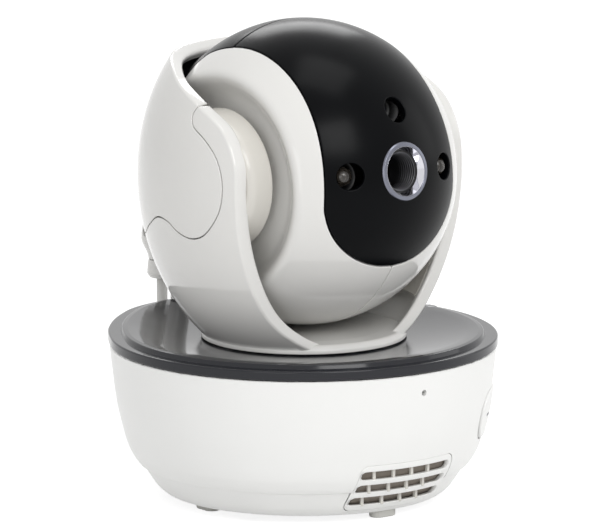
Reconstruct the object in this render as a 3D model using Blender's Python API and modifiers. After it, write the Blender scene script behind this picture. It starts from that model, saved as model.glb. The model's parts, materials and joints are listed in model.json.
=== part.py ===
"""Pan and tilt nursery camera: a round base with a dished lid, an egg-shaped yoke and a ball head.

Base lengths are measured from the pan axis and the table. Yoke and head lengths are measured from the
point where the pan axis meets the tilt axis. The front of each part faces -Y.
"""
import math

import bmesh
import bpy
from mathutils import Matrix, Vector

MM = 0.001
GAP = 0.3 * MM                      # clearance between pieces that touch

# Rest pose
PAN_AT_REST = math.radians(4.4)     # the yoke stands a little turned on the base
TILT_AT_REST = math.radians(7.5)    # the lens looks a little upwards

# Base: a round drum with a narrower round nose behind it
BASE_RADIUS = 54.0 * MM
NOSE_RADIUS = 30.0 * MM
NOSE_OFFSET = 32.5 * MM
FOOT_HEIGHT = 1.8 * MM
TRAY_HEIGHT = 7.6 * MM
BODY_HEIGHT = 33.0 * MM
WALL = 2.0 * MM
LID_SIDE = 2.6 * MM
LID_RIM = 3.5 * MM
LID_STEP = 1.2 * MM
LID_DISH = 2.0 * MM
LID_SKIRT = 1.8 * MM
SEAT_DEPTH = 1.5 * MM
BODY_TAPER = ((0.3, 1.0), (2.2, 0.52), (4.0, 0.27), (5.4, 0.13), (7.4, 0.03), (8.4, 0.0))
TRAY_TAPER = ((9.1, 1.0), (11.8, 0.46), (13.4, 0.21), (15.1, 0.05), (17.0, 0.0))

# Turntable between base and yoke
SPINDLE_RADIUS = 8.9 * MM
SPINDLE_BORE = 6.0 * MM
FLANGE_RADIUS = 20.7 * MM
YOKE_FLOOR = 2.4 * MM
BEARING_WIDTH = 4.5 * MM

# Head: a ball with a dished cheek on each side
HEAD_RADIUS = 42.6 * MM
HEAD_WALL = 2.2 * MM
HEAD_FLOOR_GAP = 1.2 * MM
CHEEK_LIP = 30.0 * MM
CHEEK_DEPTH = 4.245 * MM            # from the lip in to the floor of the dish
REAR_SHELL_Y = 14.5 * MM
TONGUE_HALF = 21.4 * MM
TONGUE_FLARE = 5.0 * MM
VISOR_HALF_TOP = 21.3 * MM
VISOR_HALF_WIDE = 23.9 * MM
VISOR_CHIN = 23.4 * MM
VISOR_CENTRE = -2.0 * MM
VISOR_BACK_Y = 0.3 * MM

# Lens, lamps and light sensor in the visor
LENS_RING_RADIUS = 8.5 * MM
LENS_RING_WIDTH = 1.5 * MM
LENS_RING_DEPTH = 6.0 * MM
LENS_RING_PROUD = 0.7 * MM
BARREL_DEPTH = 14.0 * MM
LENS_RADIUS = 3.6 * MM
LAMP_RADIUS = 2.5 * MM
LAMP_LENGTH = 6.0 * MM
LAMP_HOLE = 3.75 * MM
LAMP_ANGLE = math.radians(24.0)
SENSOR_RADIUS = 1.5 * MM
SENSOR_HOLE = 3.5 * MM
SENSOR_ANGLE = math.radians(23.6)
BOARD_THICK = 1.2 * MM

# Yoke: an egg-shaped shell round the head, open at the front and top
HEAD_CLEARANCE = 0.5 * MM
LINER = 1.0 * MM
YOKE_WALL = 1.8 * MM
YOKE_RADIUS = HEAD_RADIUS + HEAD_CLEARANCE + LINER + GAP + YOKE_WALL
EGG_ABOVE = 54.0 * MM
EGG_BELOW = 57.0 * MM
YOKE_FOOT_RADIUS = 28.3 * MM
YOKE_FOOT_EDGE = 1.5 * MM
YOKE_FRONT_Y = -19.4 * MM
YOKE_COVER_DROP = 30.0 * MM
HOOD_TOP = 33.3 * MM
RIM_BAND = 2.6 * MM
LINER_FRONT_Y = 6.0 * MM
DRUM_RADIUS = 18.6 * MM
DRUM_WALL = 1.4 * MM
DRUM_RISE = 3.2 * MM                # from the floor of the dish out to the drum

# Tilt shaft, tilt gears and tilt motor
TRUNNION_RADIUS = 4.6 * MM
TRUNNION_BORE = 2.4 * MM
TRUNNION_FLANGE = 9.0 * MM
BUSH_WALL = 1.0 * MM
TILT_MODULE = 0.75 * MM
TILT_GEAR_TEETH = 24
PINION_TEETH = 10
TILT_GEAR_WIDTH = 2.2 * MM
TILT_MOTOR_RADIUS = 9.8 * MM
TILT_MOTOR_LENGTH = 7.0 * MM
TILT_MOTOR_OFFSET = 6.0 * MM
TILT_EAR_SPAN = 13.8 * MM

# Pan gears and pan motor
PAN_MODULE = 1.4 * MM
PAN_GEAR_TEETH = 30
PAN_GEAR_WIDTH = 3.0 * MM
PAN_MOTOR_RADIUS = 12.0 * MM
PAN_MOTOR_LENGTH = 16.0 * MM
PAN_MOTOR_OFFSET = 6.0 * MM
PAN_EAR_SPAN = 17.5 * MM
EAR_THICK = 1.0 * MM
EAR_RADIUS = 2.4 * MM
MOTOR_SHAFT = 1.1 * MM

# Fittings in the base
GRILLE_HALF = 16.0 * MM
GRILLE_LOW = 3.6 * MM
GRILLE_HIGH = 17.8 * MM
SLOT_HALF = 14.75 * MM
SLOT_HEIGHT = 2.4 * MM
SLOT_PITCH = 4.05 * MM
SLOT_COUNT = 3
SPEAKER_RADIUS = 12.0 * MM
SPEAKER_DEPTH = 4.0 * MM
SPEAKER_INSET = 15.8 * MM
SPEAKER_Z = 18.0 * MM
MAGNET_RADIUS = 7.0 * MM
MAGNET_DEPTH = 4.0 * MM
KEY_HALF_LENGTH = 16.5 * MM
KEY_HALF_HEIGHT = 8.7 * MM
KEY_THICK = 1.8 * MM
KEY_PROUD = 0.5 * MM
KEY_BOARD_HALF = 20.0 * MM
KEY_BOARD_DEPTH = 8.6 * MM
KEY_Z = 25.0 * MM
KEY_TURN = math.radians(127.5)      # turned from the rear towards +X
MIC_DROP = 5.2 * MM                 # below the top of the body
MIC_RADIUS = 2.6 * MM
MIC_HOLE = 0.6 * MM
SOCKET_TURN = math.radians(28.0)
SOCKET_Z = 22.0 * MM
SOCKET_RADIUS = 3.7 * MM
SOCKET_BORE = 2.9 * MM
SOCKET_PIN = 0.9 * MM
SOCKET_BLOCK = 9.4 * MM
SOCKET_DEPTH = 10.0 * MM
SWITCH_TURN = math.radians(-28.0)
SWITCH_TRAVEL = 3.0 * MM
SWITCH_KNOB = 3.4 * MM
SWITCH_KNOB_HEIGHT = 3.0 * MM
SWITCH_BODY = 11.0 * MM
BUTTON_X = -12.0 * MM
BUTTON_RADIUS = 3.0 * MM
BUTTON_TRAVEL = 0.6 * MM
BOARD_Z = 12.0 * MM
BOARD_HALF_X = 24.0 * MM
BOARD_INSET = 28.0 * MM
BOARD_REAR_Y = 16.0 * MM
STANDOFF_RADIUS = 2.5 * MM
POST_RADIUS = 3.2 * MM
POST_HEIGHT = 8.6 * MM
POST_INSET = 15.5 * MM
POST_DEPTH = 14.0 * MM
SCREW_RADIUS = 1.4 * MM
SCREW_HEAD = 2.6 * MM
FOOT_INSET = 17.5 * MM
REAR_FOOT_SHIFT = 6.0 * MM
FOOT_LENGTH = 9.0 * MM
FOOT_WIDTH = 5.0 * MM
FOOT_SEAT = 0.6 * MM
WINDOW_INSET = 5.0 * MM
WINDOW_Y = 5.8 * MM
WINDOW_LENGTH = 4.4 * MM
WINDOW_WIDTH = 2.8 * MM

# Folding aerial behind the nose
AERIAL_Y = 64.8 * MM
AERIAL_Z = 65.5 * MM
AERIAL_POST_Y = 55.7 * MM
AERIAL_POST_RADIUS = 3.0 * MM
AERIAL_ARM = 2.8 * MM
AERIAL_EYE = 2.6 * MM
AERIAL_PIN = 1.2 * MM
KNUCKLE_RADIUS = 5.9 * MM
KNUCKLE_TOP = 8.0 * MM
KNUCKLE_NECK = 3.9 * MM
KNUCKLE_BOTTOM = 8.2 * MM
SLEEVE_RADIUS = 4.3 * MM
SLEEVE_LENGTH = 5.2 * MM
ROD_RADIUS = 1.55 * MM
ROD_END = 57.0 * MM

# Heights that follow from the sizes above
TRAY_TOP = FOOT_HEIGHT + TRAY_HEIGHT
BODY_LOW = TRAY_TOP + GAP
BODY_TOP = BODY_LOW + BODY_HEIGHT
LID_LOW = BODY_TOP + GAP
LID_RIM_TOP = LID_LOW + LID_SIDE
LID_TOP = LID_RIM_TOP + LID_STEP
DISH_Z = LID_TOP - LID_DISH
SEAT_Z = DISH_Z - SEAT_DEPTH
YOKE_BOTTOM = DISH_Z + 0.4 * MM
YOKE_FLOOR_TOP = YOKE_BOTTOM + YOKE_FLOOR
PIVOT_Z = YOKE_FLOOR_TOP + HEAD_FLOOR_GAP + HEAD_RADIUS
LID_BOSS_Z = SEAT_Z - WALL - 1.4 * MM
MIC_Z = BODY_TOP - MIC_DROP
POST_RING = BASE_RADIUS - POST_INSET
FOOT_RING = BASE_RADIUS - FOOT_INSET
WINDOW_X = BASE_RADIUS - WINDOW_INSET
SPEAKER_FRONT_Y = -(BASE_RADIUS - SPEAKER_INSET)
BOARD_FRONT_Y = -(BASE_RADIUS - BOARD_INSET)
CHEEK_LIP_X = math.sqrt(HEAD_RADIUS ** 2 - CHEEK_LIP ** 2)
CHEEK_FLOOR = CHEEK_LIP_X - CHEEK_DEPTH
DRUM_FACE = CHEEK_FLOOR + DRUM_RISE
PAN_GEAR_TOP = LID_BOSS_Z - 0.5 * MM
PAN_MOTOR_TOP = PAN_GEAR_TOP - PAN_GEAR_WIDTH - 1.8 * MM
PAN_GEAR_RADIUS = PAN_MODULE * PAN_GEAR_TEETH / 2
PAN_CENTRES = PAN_MODULE * (PAN_GEAR_TEETH + PINION_TEETH) / 2
TILT_CENTRES = TILT_MODULE * (TILT_GEAR_TEETH + PINION_TEETH) / 2
TILT_GEAR_IN = DRUM_FACE + DRUM_WALL + GAP
TILT_MOTOR_IN = TILT_GEAR_IN + TILT_GEAR_WIDTH + 0.6 * MM
BOARD_FRONT = HEAD_RADIUS - 11.0 * MM
TRAY_FLOOR = FOOT_HEIGHT + WALL
REAR_REACH = AERIAL_Y + KNUCKLE_RADIUS
AXIS_Y = (BASE_RADIUS - REAR_REACH) / 2     # puts the origin under the middle of the whole part

# Steps round a turned shape
FINE = 34
MEDIUM = 18
COARSE = 12
TINY = 8
NOSE_STEPS = 5
DRUM_STEPS = 22

for old in list(bpy.data.objects):
    bpy.data.objects.remove(old, do_unlink=True)


def new_collection(name):
    collection = bpy.data.collections.new(name)
    bpy.context.scene.collection.children.link(collection)
    return collection


PARTS = new_collection("nursery_camera")
CUTTERS = new_collection("cutters")


def plastic(name, colour, roughness, metallic=0.0):
    """A Principled material with one colour."""
    material = bpy.data.materials.new(name)
    material.use_nodes = True
    shader = material.node_tree.nodes["Principled BSDF"]
    shader.inputs["Base Color"].default_value = (*colour, 1.0)
    shader.inputs["Roughness"].default_value = roughness
    shader.inputs["Metallic"].default_value = metallic
    return material


WHITE = plastic("white_abs", (0.80, 0.80, 0.79), 0.25)
GREY = plastic("anthracite_abs", (0.045, 0.047, 0.055), 0.2)
BLACK = plastic("black_gloss", (0.008, 0.008, 0.010), 0.12)
LINER_BLACK = plastic("liner_black", (0.012, 0.012, 0.013), 0.5)
CHROME = plastic("chrome_plate", (0.75, 0.75, 0.80), 0.08, 1.0)
RUBBER = plastic("grey_rubber", (0.35, 0.35, 0.35), 0.8)
GLASS = plastic("coated_glass", (0.03, 0.03, 0.06), 0.05)
STEEL = plastic("zinc_steel", (0.55, 0.56, 0.58), 0.35, 1.0)
ACETAL = plastic("acetal", (0.72, 0.70, 0.64), 0.4)
BOARD = plastic("green_board", (0.02, 0.16, 0.07), 0.5)
LAMP = plastic("smoked_epoxy", (0.25, 0.22, 0.20), 0.15)
PAPER = plastic("speaker_paper", (0.03, 0.03, 0.03), 0.9)


def frame_empty(name, parent, place, turn=(0.0, 0.0, 0.0)):
    """An empty that carries the pieces of one moving or fixed group."""
    empty = bpy.data.objects.new(name, None)
    PARTS.objects.link(empty)
    empty.parent = parent
    empty.location = place
    empty.rotation_euler = turn
    return empty


def wall_inset(height):
    """How far the drum's wall stands in from its widest outline at a height above the table."""
    share = (height - BODY_LOW) / BODY_HEIGHT
    for (inset_a, share_a), (inset_b, share_b) in zip(BODY_TAPER, BODY_TAPER[1:]):
        if share >= share_b:
            blend = (share - share_b) / (share_a - share_b)
            return (inset_b + (inset_a - inset_b) * blend) * MM
    return BODY_TAPER[-1][0] * MM


def wall_spot(turn, height):
    """A point on the drum's wall, given by how far its normal is turned from the rear towards +X."""
    inset = wall_inset(height)
    if abs(turn) < NOSE_SPREAD:
        radius = NOSE_RADIUS - inset
        return (radius * math.sin(turn), NOSE_OFFSET + radius * math.cos(turn), height)
    radius = BASE_RADIUS - inset
    return (radius * math.sin(turn), radius * math.cos(turn), height)


NOSE_SPREAD = math.acos((BASE_RADIUS - NOSE_RADIUS) / NOSE_OFFSET)
BASE = frame_empty("base_frame", None, (0.0, AXIS_Y, 0.0))
PAN = frame_empty("pan_frame", BASE, (0.0, 0.0, PIVOT_Z), (0.0, 0.0, PAN_AT_REST))
TILT = frame_empty("tilt_frame", PAN, (0.0, 0.0, 0.0), (-TILT_AT_REST, 0.0, 0.0))
AERIAL = frame_empty("aerial_frame", BASE, (0.0, AERIAL_Y, AERIAL_Z))
KEY = frame_empty("key_frame", BASE, wall_spot(KEY_TURN, KEY_Z), (0.0, 0.0, -KEY_TURN))
SOCKET = frame_empty("socket_frame", BASE, wall_spot(SOCKET_TURN, SOCKET_Z), (0.0, 0.0, -SOCKET_TURN))
SWITCH = frame_empty("switch_frame", BASE, wall_spot(SWITCH_TURN, SOCKET_Z), (0.0, 0.0, -SWITCH_TURN))


def add_object(name, mesh, parent, material=None):
    """Put a mesh in the scene: a piece if it has a material, a cutter if it has none."""
    piece = bpy.data.objects.new(name, mesh)
    piece.parent = parent
    if material is None:
        CUTTERS.objects.link(piece)
        piece.hide_render = True
        piece.display_type = "WIRE"
    else:
        PARTS.objects.link(piece)
        mesh.materials.append(material)
    return piece


def from_bmesh(name, shape, parent, material=None):
    """Turn a bmesh into an object with its faces pointing out."""
    bmesh.ops.recalc_face_normals(shape, faces=shape.faces)
    mesh = bpy.data.meshes.new(name)
    shape.to_mesh(mesh)
    shape.free()
    mesh.shade_smooth()
    mesh.set_sharp_from_angle(angle=math.radians(35.0))
    return add_object(name, mesh, parent, material)


AXES = {
    "Z": (0.0, 0.0, 0.0),
    "X": (0.0, math.pi / 2, 0.0),
    "-X": (0.0, -math.pi / 2, 0.0),
    "-Y": (math.pi / 2, 0.0, 0.0),
    "Y": (-math.pi / 2, 0.0, 0.0),
}


def turned(name, profile, parent, material=None, axis="Z", place=(0.0, 0.0, 0.0), steps=MEDIUM):
    """Turn a profile of (radius, height) points, listed down its outer side, about an axis."""
    mesh = bpy.data.meshes.new(name)
    count = len(profile)
    edges = [(i, i + 1) for i in range(count - 1)]
    if profile[0][0] > 0.0 and profile[-1][0] > 0.0:
        edges.append((count - 1, 0))
    mesh.from_pydata([(radius, 0.0, height) for radius, height in profile], edges, [])
    piece = add_object(name, mesh, parent, material)
    piece.location = place
    piece.rotation_euler = AXES[axis]
    screw = piece.modifiers.new("turn", "SCREW")
    screw.axis = "Z"
    screw.angle = math.tau
    screw.steps = steps
    screw.render_steps = steps
    screw.use_smooth_shade = True
    screw.use_merge_vertices = True
    screw.merge_threshold = 1e-6
    return piece


def cylinder(name, radius, low, high, parent, material=None, axis="Z", place=(0.0, 0.0, 0.0), steps=MEDIUM):
    """A plain round bar from one height to another along its axis."""
    profile = [(0.0, high), (radius, high), (radius, low), (0.0, low)]
    return turned(name, profile, parent, material, axis, place, steps)


def ring(name, inner, outer, low, high, parent, material=None, axis="Z", place=(0.0, 0.0, 0.0),
         steps=MEDIUM):
    """A plain round ring."""
    profile = [(inner, high), (outer, high), (outer, low), (inner, low)]
    return turned(name, profile, parent, material, axis, place, steps)


def box(name, low, high, parent, material=None, bevel=0.0):
    """A box between two corners, with rounded edges if a bevel is given."""
    shape = bmesh.new()
    bmesh.ops.create_cube(shape, size=1.0)
    size = [b - a for a, b in zip(low, high)]
    middle = [(a + b) / 2 for a, b in zip(low, high)]
    bmesh.ops.scale(shape, vec=size, verts=shape.verts)
    bmesh.ops.translate(shape, vec=middle, verts=shape.verts)
    piece = from_bmesh(name, shape, parent, material)
    if bevel:
        rounding = piece.modifiers.new("rounding", "BEVEL")
        rounding.width = bevel
        rounding.segments = 2
    return piece


def slab(name, outline, low, high, parent, material=None, along="Z"):
    """A flat outline given a thickness: outlines are (x, y), (y, z) or (x, z) for Z, X or Y."""
    curve = bpy.data.curves.new(name, "CURVE")
    curve.dimensions = "2D"
    curve.fill_mode = "BOTH"
    curve.extrude = (high - low) / 2
    spline = curve.splines.new("POLY")
    spline.points.add(len(outline) - 1)
    for point, (u, v) in zip(spline.points, outline):
        point.co = (u, v, 0.0, 1.0)
    spline.use_cyclic_u = True
    flat = bpy.data.objects.new(name + "_outline", curve)
    CUTTERS.objects.link(flat)
    bpy.context.view_layer.update()
    graph = bpy.context.evaluated_depsgraph_get()
    filled = bpy.data.meshes.new_from_object(flat.evaluated_get(graph))
    bpy.data.objects.remove(flat, do_unlink=True)
    shape = bmesh.new()
    shape.from_mesh(filled)
    bpy.data.meshes.remove(filled)
    bmesh.ops.remove_doubles(shape, verts=shape.verts, dist=1e-7)
    middle = (low + high) / 2
    if along == "Z":
        place = Matrix.Translation((0.0, 0.0, middle))
    elif along == "X":
        place = Matrix(((0, 0, 1, middle), (1, 0, 0, 0), (0, 1, 0, 0), (0, 0, 0, 1)))
    else:
        place = Matrix(((1, 0, 0, 0), (0, 0, -1, middle), (0, 1, 0, 0), (0, 0, 0, 1)))
    bmesh.ops.transform(shape, matrix=place, verts=shape.verts)
    return from_bmesh(name, shape, parent, material)


def loft(name, rings, parent, material=None, closed=False):
    """Join rings of points that run level with each other; a closed loft joins the last to the first."""
    shape = bmesh.new()
    rows = [[shape.verts.new(point) for point in points] for points in rings]
    count = len(rows[0])
    pairs = list(zip(rows, rows[1:]))
    if closed:
        pairs.append((rows[-1], rows[0]))
    else:
        shape.faces.new(rows[0])
        shape.faces.new(list(reversed(rows[-1])))
    for upper, lower in pairs:
        for i in range(count):
            j = (i + 1) % count
            shape.faces.new((upper[i], upper[j], lower[j], lower[i]))
    return from_bmesh(name, shape, parent, material)


def change(piece, tool, operation="DIFFERENCE"):
    """Cut, keep or join a piece with another shape."""
    boolean = piece.modifiers.new(tool.name, "BOOLEAN")
    boolean.operation = operation
    boolean.object = tool
    return piece


def arc(centre, radius, start, end, count):
    """Points on an arc, with its angles in degrees."""
    points = []
    for i in range(count + 1):
        angle = math.radians(start + (end - start) * i / count)
        points.append((centre[0] + radius * math.cos(angle), centre[1] + radius * math.sin(angle)))
    return points


def capsule(half_length, half_height, count=5):
    """A level outline with round ends."""
    run = half_length - half_height
    return arc((run, 0.0), half_height, -90, 90, count) + arc((-run, 0.0), half_height, 90, 270, count)


def rounded(low, high, radius, count=3):
    """A rectangle with round corners."""
    (left, bottom), (right, top) = low, high
    return (arc((right - radius, bottom + radius), radius, -90, 0, count)
            + arc((right - radius, top - radius), radius, 0, 90, count)
            + arc((left + radius, top - radius), radius, 90, 180, count)
            + arc((left + radius, bottom + radius), radius, 180, 270, count))


def flowing(points, steps):
    """A smooth line through a few points."""
    ends = [points[0]] + list(points) + [points[-1]]
    line = []
    for before, start, end, after in zip(ends, ends[1:], ends[2:], ends[3:]):
        for i in range(steps):
            t = i / steps
            line.append(tuple(
                0.5 * (2 * b + (c - a) * t + (2 * a - 5 * b + 4 * c - d) * t * t
                       + (3 * b - a - 3 * c + d) * t * t * t)
                for a, b, c, d in zip(before, start, end, after)))
    line.append(tuple(points[-1]))
    return line


# ---------------------------------------------------------------- base

def plan_outline(inset):
    """The base seen from above, drawn in by an inset: the nose first, then the drum."""
    nose = NOSE_RADIUS - inset
    drum = BASE_RADIUS - inset
    points = []
    for i in range(NOSE_STEPS + 1):
        turn = NOSE_SPREAD * (1 - 2 * i / NOSE_STEPS)
        points.append((nose * math.sin(turn), NOSE_OFFSET + nose * math.cos(turn)))
    sweep = math.tau - 2 * NOSE_SPREAD
    for i in range(DRUM_STEPS + 1):
        turn = -NOSE_SPREAD - sweep * i / DRUM_STEPS
        points.append((drum * math.sin(turn), drum * math.cos(turn)))
    return points


def plan_ring(inset, height):
    return [(x, y, height) for x, y in plan_outline(inset)]


def round_ring(radius, height):
    """A round ring whose points stand in the directions of the plan outline's points."""
    points = []
    for x, y in plan_outline(0.0):
        reach = math.hypot(x, y)
        points.append((radius * x / reach, radius * y / reach, height))
    return points


def body_rings(extra):
    return [plan_ring(inset * MM + extra, BODY_LOW + share * BODY_HEIGHT) for inset, share in BODY_TAPER]


def tray_rings(extra, lift):
    return [plan_ring(inset * MM + extra, FOOT_HEIGHT + lift + share * (TRAY_HEIGHT - lift))
            for inset, share in TRAY_TAPER]


def front_face(extra):
    """The drum's outer form carried down to the table side without its crease, for the grille."""
    rings = body_rings(extra)
    drop = BODY_LOW - GRILLE_LOW
    rings.append(plan_ring(9.7 * MM + extra, BODY_LOW - 0.35 * drop))
    rings.append(plan_ring(11.5 * MM + extra, BODY_LOW - 0.72 * drop))
    rings.append(plan_ring(13.6 * MM + extra, BODY_LOW - 1.15 * drop))
    return rings


def screw_spots():
    return [(POST_RING * math.cos(math.radians(a)), POST_RING * math.sin(math.radians(a)))
            for a in (30, 150, 210, 330)]


def make_base_housing():
    inner = list(reversed(body_rings(WALL)[::2] + body_rings(WALL)[-1:]))
    housing = loft("base_housing", body_rings(0.0) + inner, BASE, WHITE, closed=True)
    hollow = loft("drum_hollow", body_rings(-1.0 * MM), BASE)
    for number, (x, y) in enumerate(screw_spots(), 1):
        half = POST_DEPTH / 2
        post = slab(f"post_{number}", capsule(half, POST_RADIUS, 4), BODY_LOW, BODY_LOW + POST_HEIGHT, BASE)
        reach = 1.0 + (half - POST_RADIUS) / POST_RING
        post.location = (x * reach, y * reach, 0.0)
        post.rotation_euler = (0.0, 0.0, math.atan2(y, x))
        change(post, hollow, "INTERSECT")
        change(housing, post, "UNION")
    for number, (x, y) in enumerate(screw_spots(), 1):
        bore = cylinder(f"post_bore_{number}", SCREW_RADIUS + GAP, BODY_LOW - WALL, BODY_LOW + 8 * MM, BASE,
                        place=(x, y, 0.0), steps=TINY)
        change(housing, bore)
    for side in (-1, 1):
        near, far = sorted((side * (KEY_HALF_LENGTH + GAP + 0.6 * MM), side * KEY_BOARD_HALF))
        boss = box(f"key_boss_{side}", (near, -KEY_BOARD_DEPTH + GAP, -2 * MM), (far, -2 * WALL, 2 * MM), KEY)
        change(housing, boss, "UNION")
    change(housing, grille_opening())
    change(housing, key_opening())
    change(housing, cylinder("mic_hole", MIC_HOLE, -BASE_RADIUS - WALL, -BASE_RADIUS + 3 * WALL, BASE,
                             axis="Y", place=(0.0, 0.0, MIC_Z), steps=TINY))
    change(housing, cylinder("socket_hole", SOCKET_RADIUS + GAP, -4 * WALL, 2 * WALL, SOCKET, axis="Y"))
    change(housing, box("switch_slot",
                        (-(SWITCH_KNOB + SWITCH_TRAVEL) / 2 - GAP, -4 * WALL, -SWITCH_KNOB_HEIGHT / 2 - GAP),
                        ((SWITCH_KNOB + SWITCH_TRAVEL) / 2 + GAP, 2 * WALL, SWITCH_KNOB_HEIGHT / 2 + GAP),
                        SWITCH))
    return housing


def grille_outline(extra):
    return rounded((-GRILLE_HALF - extra, GRILLE_LOW - extra), (GRILLE_HALF + extra, GRILLE_HIGH + extra),
                   2.5 * MM)


def grille_opening():
    return slab("grille_opening", grille_outline(GAP), -BASE_RADIUS - WALL, SPEAKER_FRONT_Y + SPEAKER_DEPTH,
                BASE, along="Y")


def make_speaker_grille():
    grille = loft("speaker_grille", front_face(0.0), BASE, WHITE)
    change(grille, slab("grille_outline", grille_outline(0.0), -BASE_RADIUS - WALL, -BASE_RADIUS / 2, BASE,
                        along="Y"), "INTERSECT")
    change(grille, loft("grille_back", front_face(WALL * 0.8), BASE))
    middle = (GRILLE_LOW + GRILLE_HIGH) / 2
    for row in range(SLOT_COUNT):
        height = middle + (row - (SLOT_COUNT - 1) / 2) * SLOT_PITCH
        outline = [(x, z + height) for x, z in capsule(SLOT_HALF, SLOT_HEIGHT / 2, 3)]
        change(grille, slab(f"slot_{row + 1}", outline, -BASE_RADIUS - WALL, -BASE_RADIUS / 2, BASE,
                            along="Y"))
    return grille


def key_opening():
    outline = capsule(KEY_HALF_LENGTH + GAP, KEY_HALF_HEIGHT + GAP)
    return slab("key_opening", outline, -6 * WALL, 2 * WALL, KEY, along="Y")


def make_volume_key():
    """One rocker for both volume keys, curved with the drum's wall and a little proud of it."""
    key = slab("volume_rocker", capsule(KEY_HALF_LENGTH, KEY_HALF_HEIGHT), -6 * WALL, 2 * WALL, KEY, WHITE,
               along="Y")
    change(key, loft("key_face", body_rings(-KEY_PROUD), BASE), "INTERSECT")
    change(key, loft("key_back", body_rings(KEY_THICK), BASE))
    return key


def make_key_board():
    """The small board behind the rocker, with a switch under each end."""
    back = -KEY_BOARD_DEPTH
    board = box("key_board", (-KEY_BOARD_HALF, back - BOARD_THICK, -4.0 * MM),
                (KEY_BOARD_HALF, back, 4.0 * MM), KEY, BOARD)
    for side in (-1, 1):
        middle = side * KEY_HALF_LENGTH / 2
        switch = box(f"key_switch_{side}", (middle - 2 * MM, back - 0.5 * MM, -2 * MM),
                     (middle + 2 * MM, -KEY_THICK - 1.95 * MM, 2 * MM), KEY)
        change(board, switch, "UNION")
    return board


def make_bottom_cover():
    inner = list(reversed(tray_rings(WALL, WALL)[::2]))
    cover = loft("bottom_cover", inner + tray_rings(0.0, 0.0), BASE, WHITE)
    for number, (x, y) in enumerate(standoff_spots(), 1):
        change(cover, cylinder(f"standoff_{number}", STANDOFF_RADIUS, TRAY_FLOOR - WALL / 2, BOARD_Z - GAP,
                               BASE, place=(x, y, 0.0), steps=TINY), "UNION")
    for side in (-1, 1):
        change(cover, cylinder(f"motor_post_{side}", EAR_RADIUS, TRAY_FLOOR - WALL / 2,
                               PAN_MOTOR_TOP - EAR_THICK - GAP, BASE,
                               place=(-PAN_CENTRES, PAN_MOTOR_OFFSET + side * PAN_EAR_SPAN, 0.0), steps=TINY),
               "UNION")
    for number, (x, y) in enumerate(screw_spots(), 1):
        spot = (x, y, 0.0)
        collar = cylinder(f"screw_collar_{number}", POST_RADIUS, FOOT_HEIGHT + WALL, TRAY_TOP, BASE,
                          place=spot, steps=COARSE)
        change(collar, loft(f"collar_trim_{number}", tray_rings(WALL / 2, WALL / 2), BASE), "INTERSECT")
        change(cover, collar, "UNION")
        change(cover, cylinder(f"screw_way_{number}", SCREW_RADIUS + GAP, 0.0, TRAY_TOP + WALL, BASE,
                               place=spot, steps=TINY))
        change(cover, cylinder(f"screw_sink_{number}", SCREW_HEAD + GAP, 0.0, TRAY_TOP - 3.2 * MM, BASE,
                               place=spot, steps=COARSE))
    for number, (x, y, turn) in enumerate(foot_spots(), 1):
        seat = foot_slab(f"foot_seat_{number}", GAP, FOOT_HEIGHT - WALL, FOOT_HEIGHT + FOOT_SEAT + GAP,
                         (x, y, turn))
        change(cover, seat)
    change(cover, grille_opening())
    cradle = box("speaker_cradle", (-SPEAKER_RADIUS * 0.7, SPEAKER_FRONT_Y + 1.5 * MM, TRAY_FLOOR - WALL / 2),
                 (SPEAKER_RADIUS * 0.7, SPEAKER_FRONT_Y + SPEAKER_DEPTH - 0.5 * MM, SPEAKER_Z - 8 * MM), BASE)
    change(cradle, cylinder("speaker_clearance", SPEAKER_RADIUS + GAP, -BASE_RADIUS, 0.0, BASE, axis="Y",
                            place=(0.0, 0.0, SPEAKER_Z)))
    change(cover, cradle, "UNION")
    change(cover, cylinder("button_hole", BUTTON_RADIUS + GAP, 0.0, TRAY_FLOOR + WALL, BASE,
                           place=(BUTTON_X, 0.0, 0.0), steps=COARSE))
    return cover


def standoff_spots():
    inset = 4.0 * MM
    xs = (-BOARD_HALF_X + inset, BOARD_HALF_X - inset)
    ys = (BOARD_FRONT_Y + inset, BOARD_REAR_Y - inset)
    return [(x, y) for x in xs for y in ys]


def foot_spots():
    """Each foot's place, and how far its length is turned from the X axis."""
    return [(0.0, -FOOT_RING, 0.0), (FOOT_RING, 0.0, 90.0), (0.0, FOOT_RING + REAR_FOOT_SHIFT, 0.0),
            (-FOOT_RING, 0.0, 90.0)]


def foot_slab(name, extra, low, high, spot, material=None):
    x, y, turn = spot
    foot = slab(name, capsule(FOOT_LENGTH / 2 + extra, FOOT_WIDTH / 2 + extra, 3), low, high, BASE, material)
    foot.location = (x, y, 0.0)
    foot.rotation_euler = (0.0, 0.0, math.radians(turn))
    return foot


def make_feet():
    for number, spot in enumerate(foot_spots(), 1):
        foot_slab(f"rubber_foot_{number}", 0.0, 0.0, FOOT_HEIGHT + FOOT_SEAT, spot, RUBBER)


def make_base_screws():
    head_top = TRAY_TOP - 3.2 * MM - GAP
    for number, (x, y) in enumerate(screw_spots(), 1):
        profile = [(0.0, BODY_LOW + 7 * MM), (SCREW_RADIUS, BODY_LOW + 7 * MM), (SCREW_RADIUS, head_top),
                   (SCREW_HEAD, head_top), (SCREW_HEAD, head_top - 1.2 * MM), (0.0, head_top - 1.2 * MM)]
        turned(f"base_screw_{number}", profile, BASE, STEEL, place=(x, y, 0.0), steps=TINY)


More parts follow.
